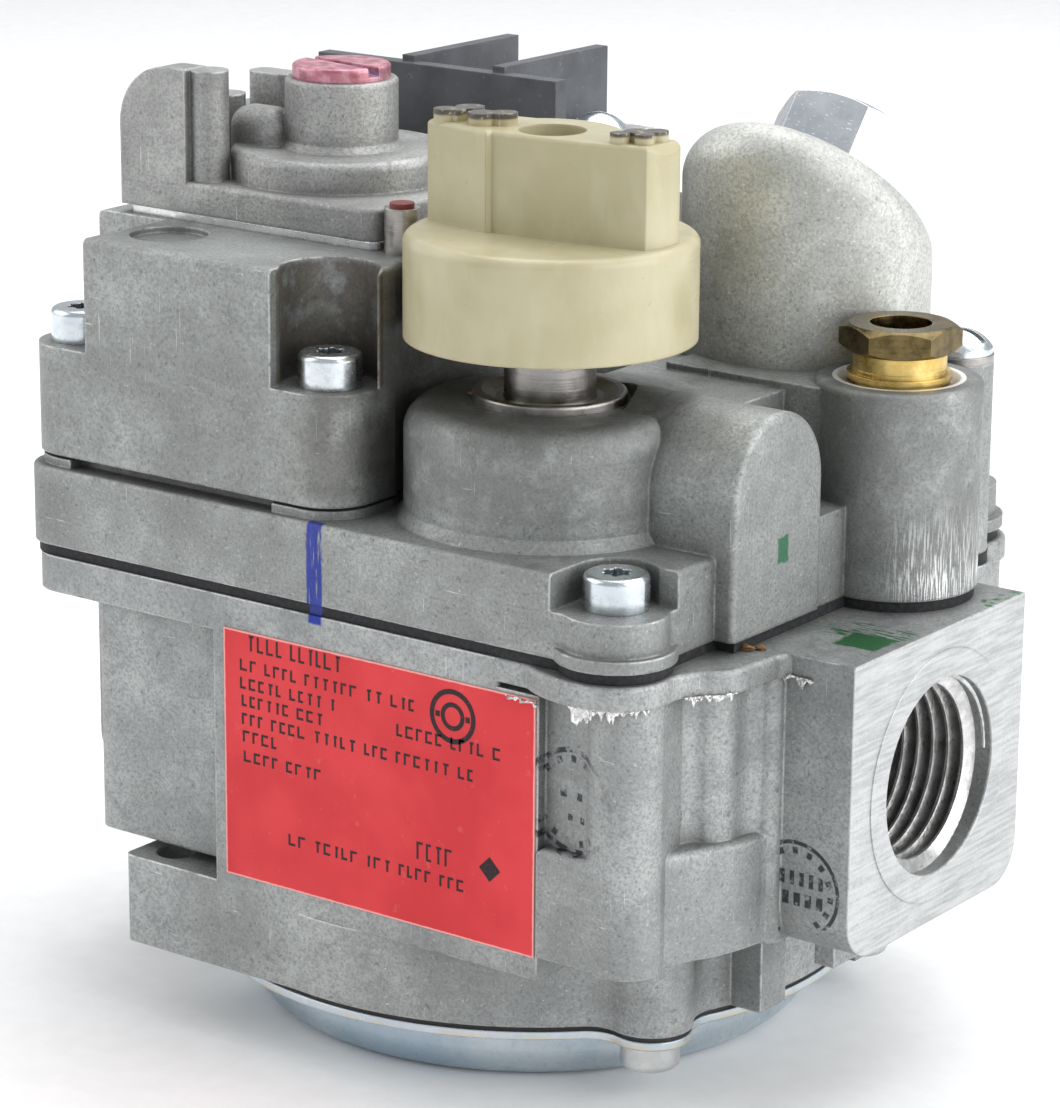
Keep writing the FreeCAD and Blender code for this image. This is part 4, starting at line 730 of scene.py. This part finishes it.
def label_print():
    """Generic print: rows of bars in place of text, a plain roundel and a small diamond."""
    draw = random.Random(7)
    shape = bmesh.new()
    y0, y1 = LABEL_FACE_Y - 0.02, LABEL_FACE_Y + 0.01
    for z, x0, x1, height in LABEL_ROWS:
        x = x0
        while x < x1 - 0.8:
            count = draw.randint(2, 6)
            for i in range(count):
                width = draw.uniform(0.62, 0.95)
                if x + width > x1:
                    break
                form = draw.randint(0, 3)
                thick = 0.26
                if form < 3:
                    add_box(shape, x, x + thick, y0, y1, z, z + height)
                if form in (0, 2):
                    add_box(shape, x + thick, x + width, y0, y1, z, z + thick)
                if form in (1, 2, 3):
                    add_box(shape, x + thick, x + width, y0, y1, z + height - thick, z + height)
                if form == 3:
                    stem = x + width * 0.45
                    add_box(shape, stem, stem + thick, y0, y1, z, z + height - thick)
                x += width + 0.42
            x += 0.75
    add_ring(shape, ROUNDEL, 2.9, 2.35, y0, y1)
    add_ring(shape, ROUNDEL, 1.5, 1.0, y0, y1)
    x, z = DIAMOND
    half = 0.95
    add_box(shape, x - half, x + half, y0, y1, z - half, z + half, math.radians(45), DIAMOND)
    x, z = ROUNDEL
    for offset in (-1.9, 1.9):
        add_box(shape, x + offset - 0.28, x + offset + 0.28, y0, y1, z - 0.3, z + 0.3)
    bmesh.ops.recalc_face_normals(shape, faces=shape.faces)
    mesh = bpy.data.meshes.new("label_print")
    shape.to_mesh(mesh)
    shape.free()
    return piece("label_print", mesh, "valve", LABEL_INK)


def path_points(corners, step):
    """Points and outward headings along a plan polyline, step millimetres apart."""
    found = []
    for (x0, y0), (x1, y1) in zip(corners, corners[1:]):
        length = math.hypot(x1 - x0, y1 - y0)
        count = max(1, round(length / step))
        out = ((y1 - y0) / length, -(x1 - x0) / length)
        for i in range(count):
            t = i / count
            found.append((x0 + (x1 - x0) * t, y0 + (y1 - y0) * t, out))
    return found


def torn_flash(name, corners, top, depth, seed):
    """Ragged, crumpled sheet of casting flash that hangs below an edge."""
    draw = random.Random(seed)
    rows = 5
    shape = bmesh.new()
    columns = []
    swing = 0.0
    points = path_points(corners, 0.16)
    for i, (x, y, out) in enumerate(points):
        swing = 0.72 * swing + draw.uniform(-0.45, 0.45)
        taper = min(1.0, i / 5, (len(points) - 1 - i) / 5)
        drop = max(0.18, depth * (0.62 + swing)) * (0.25 + 0.75 * taper)
        column = []
        for j in range(rows):
            t = j / (rows - 1)
            lean = 0.16 + 0.34 * t * math.sin(i * 0.55 + seed) + draw.uniform(-0.07, 0.07)
            spot = Vector((x + out[0] * lean, y + out[1] * lean, top - drop * t))
            column.append(shape.verts.new(spot * MM))
        columns.append(column)
    for a, b in zip(columns, columns[1:]):
        for j in range(rows - 1):
            shape.faces.new((a[j], b[j], b[j + 1], a[j + 1]))
    bmesh.ops.recalc_face_normals(shape, faces=shape.faces)
    bmesh.ops.solidify(shape, geom=shape.faces[:], thickness=0.14 * MM)
    bmesh.ops.recalc_face_normals(shape, faces=shape.faces)
    mesh = bpy.data.meshes.new(name)
    shape.to_mesh(mesh)
    shape.free()
    return piece(name, mesh, "valve", FLASH_PAINT)


def glue_bead(name, centre, size, seed):
    """Irregular crumb of dried sealant."""
    draw = random.Random(seed)
    shape = bmesh.new()
    bmesh.ops.create_icosphere(shape, subdivisions=3, radius=1.0)
    waves = [(Vector([draw.uniform(-3, 3) for _ in range(3)]), draw.uniform(0, 6)) for _ in range(6)]
    for vertex in shape.verts:
        swell = 1 + 0.12 * sum(math.sin(wave.dot(vertex.co) * 1.6 + phase) for wave, phase in waves)
        spot = Vector(vertex.co[k] * swell * size[k] + centre[k] for k in range(3))
        vertex.co = spot * MM
    mesh = bpy.data.meshes.new(name)
    shape.to_mesh(mesh)
    shape.free()
    return piece(name, mesh, "valve", GLUE_PAINT, True)


for strip in FLASH_STRIPS:
    torn_flash(*strip)
for bead in GLUE_BEADS:
    glue_bead(*bead)
port_thread("inlet_thread", INLET_X, -1)
port_thread("outlet_thread", OUTLET_X, 1)
label_print()


def camera():
    """Camera in front of the inlet's side, a little above the object."""
    azimuth, elevation, roll = (math.radians(angle) for angle in (VIEW_AZIMUTH, VIEW_ELEVATION, VIEW_ROLL))
    back = Vector((math.sin(azimuth) * math.cos(elevation), -math.cos(azimuth) * math.cos(elevation),
                   math.sin(elevation)))
    level = Vector((math.cos(azimuth), math.sin(azimuth), 0))
    up = back.cross(level)
    right = math.cos(roll) * level + math.sin(roll) * up
    up = -math.sin(roll) * level + math.cos(roll) * up
    place = Vector(VIEW_AIM) + right * VIEW_SHIFT[0] + up * VIEW_SHIFT[1] + back * VIEW_SHIFT[2]
    data = bpy.data.cameras.new("camera")
    data.sensor_width = SENSOR
    data.lens = LENS
    data.clip_start = 0.02
    data.clip_end = 20
    thing = bpy.data.objects.new("camera", data)
    basis = Matrix((right, up, back)).transposed().to_4x4()
    thing.matrix_world = Matrix.Translation(place * MM) @ basis
    bpy.context.scene.collection.objects.link(thing)
    bpy.context.scene.camera = thing


def softbox(name, place, size, power, tone):
    """Rectangular area light that faces the object."""
    data = bpy.data.lights.new(name, "AREA")
    data.shape = "RECTANGLE"
    data.size, data.size_y = size
    data.energy = power
    data.color = tone
    thing = bpy.data.objects.new(name, data)
    direction = (Vector(LIGHT_AIM) - Vector(place)).normalized()
    thing.location = place
    thing.rotation_euler = direction.to_track_quat("-Z", "Y").to_euler()
    bpy.context.scene.collection.objects.link(thing)


def studio():
    """Even pale surround and three softboxes."""
    world = bpy.data.worlds.new("studio")
    bpy.context.scene.world = world
    world.use_nodes = True
    background = world.node_tree.nodes["Background"]
    background.inputs["Color"].default_value = WORLD_TONE
    background.inputs["Strength"].default_value = WORLD_STRENGTH
    for light in SOFTBOXES:
        softbox(*light)


def floor():
    """Pale studio floor."""
    mesh = bpy.data.meshes.new("floor")
    gap = 0.1
    z = (FLOOR_Z - gap) * MM
    half = FLOOR_HALF
    corners = [(-half, -half, z), (half, -half, z), (half, half, z), (-half, half, z)]
    mesh.from_pydata(corners, [], [(0, 1, 2, 3)])
    p = Paint("floor_white", Specular_IOR_Level=0.2)
    grain = p.noise(3.0, 3, 0.6, seed=151)
    p.finish(p.mix(p.ramp(grain, 0.3, 0.7), (0.90, 0.90, 0.90), (0.93, 0.93, 0.93)),
             p.ramp(grain, 0.2, 0.8, 0.7, 0.85), p.bump(grain, 0.02))
    mesh.materials.append(p.material)
    thing = bpy.data.objects.new("floor", mesh)
    bpy.context.scene.collection.objects.link(thing)


camera()
studio()
floor()
scene = bpy.context.scene
scene.view_settings.view_transform = "Standard"
scene.view_settings.look = "None"
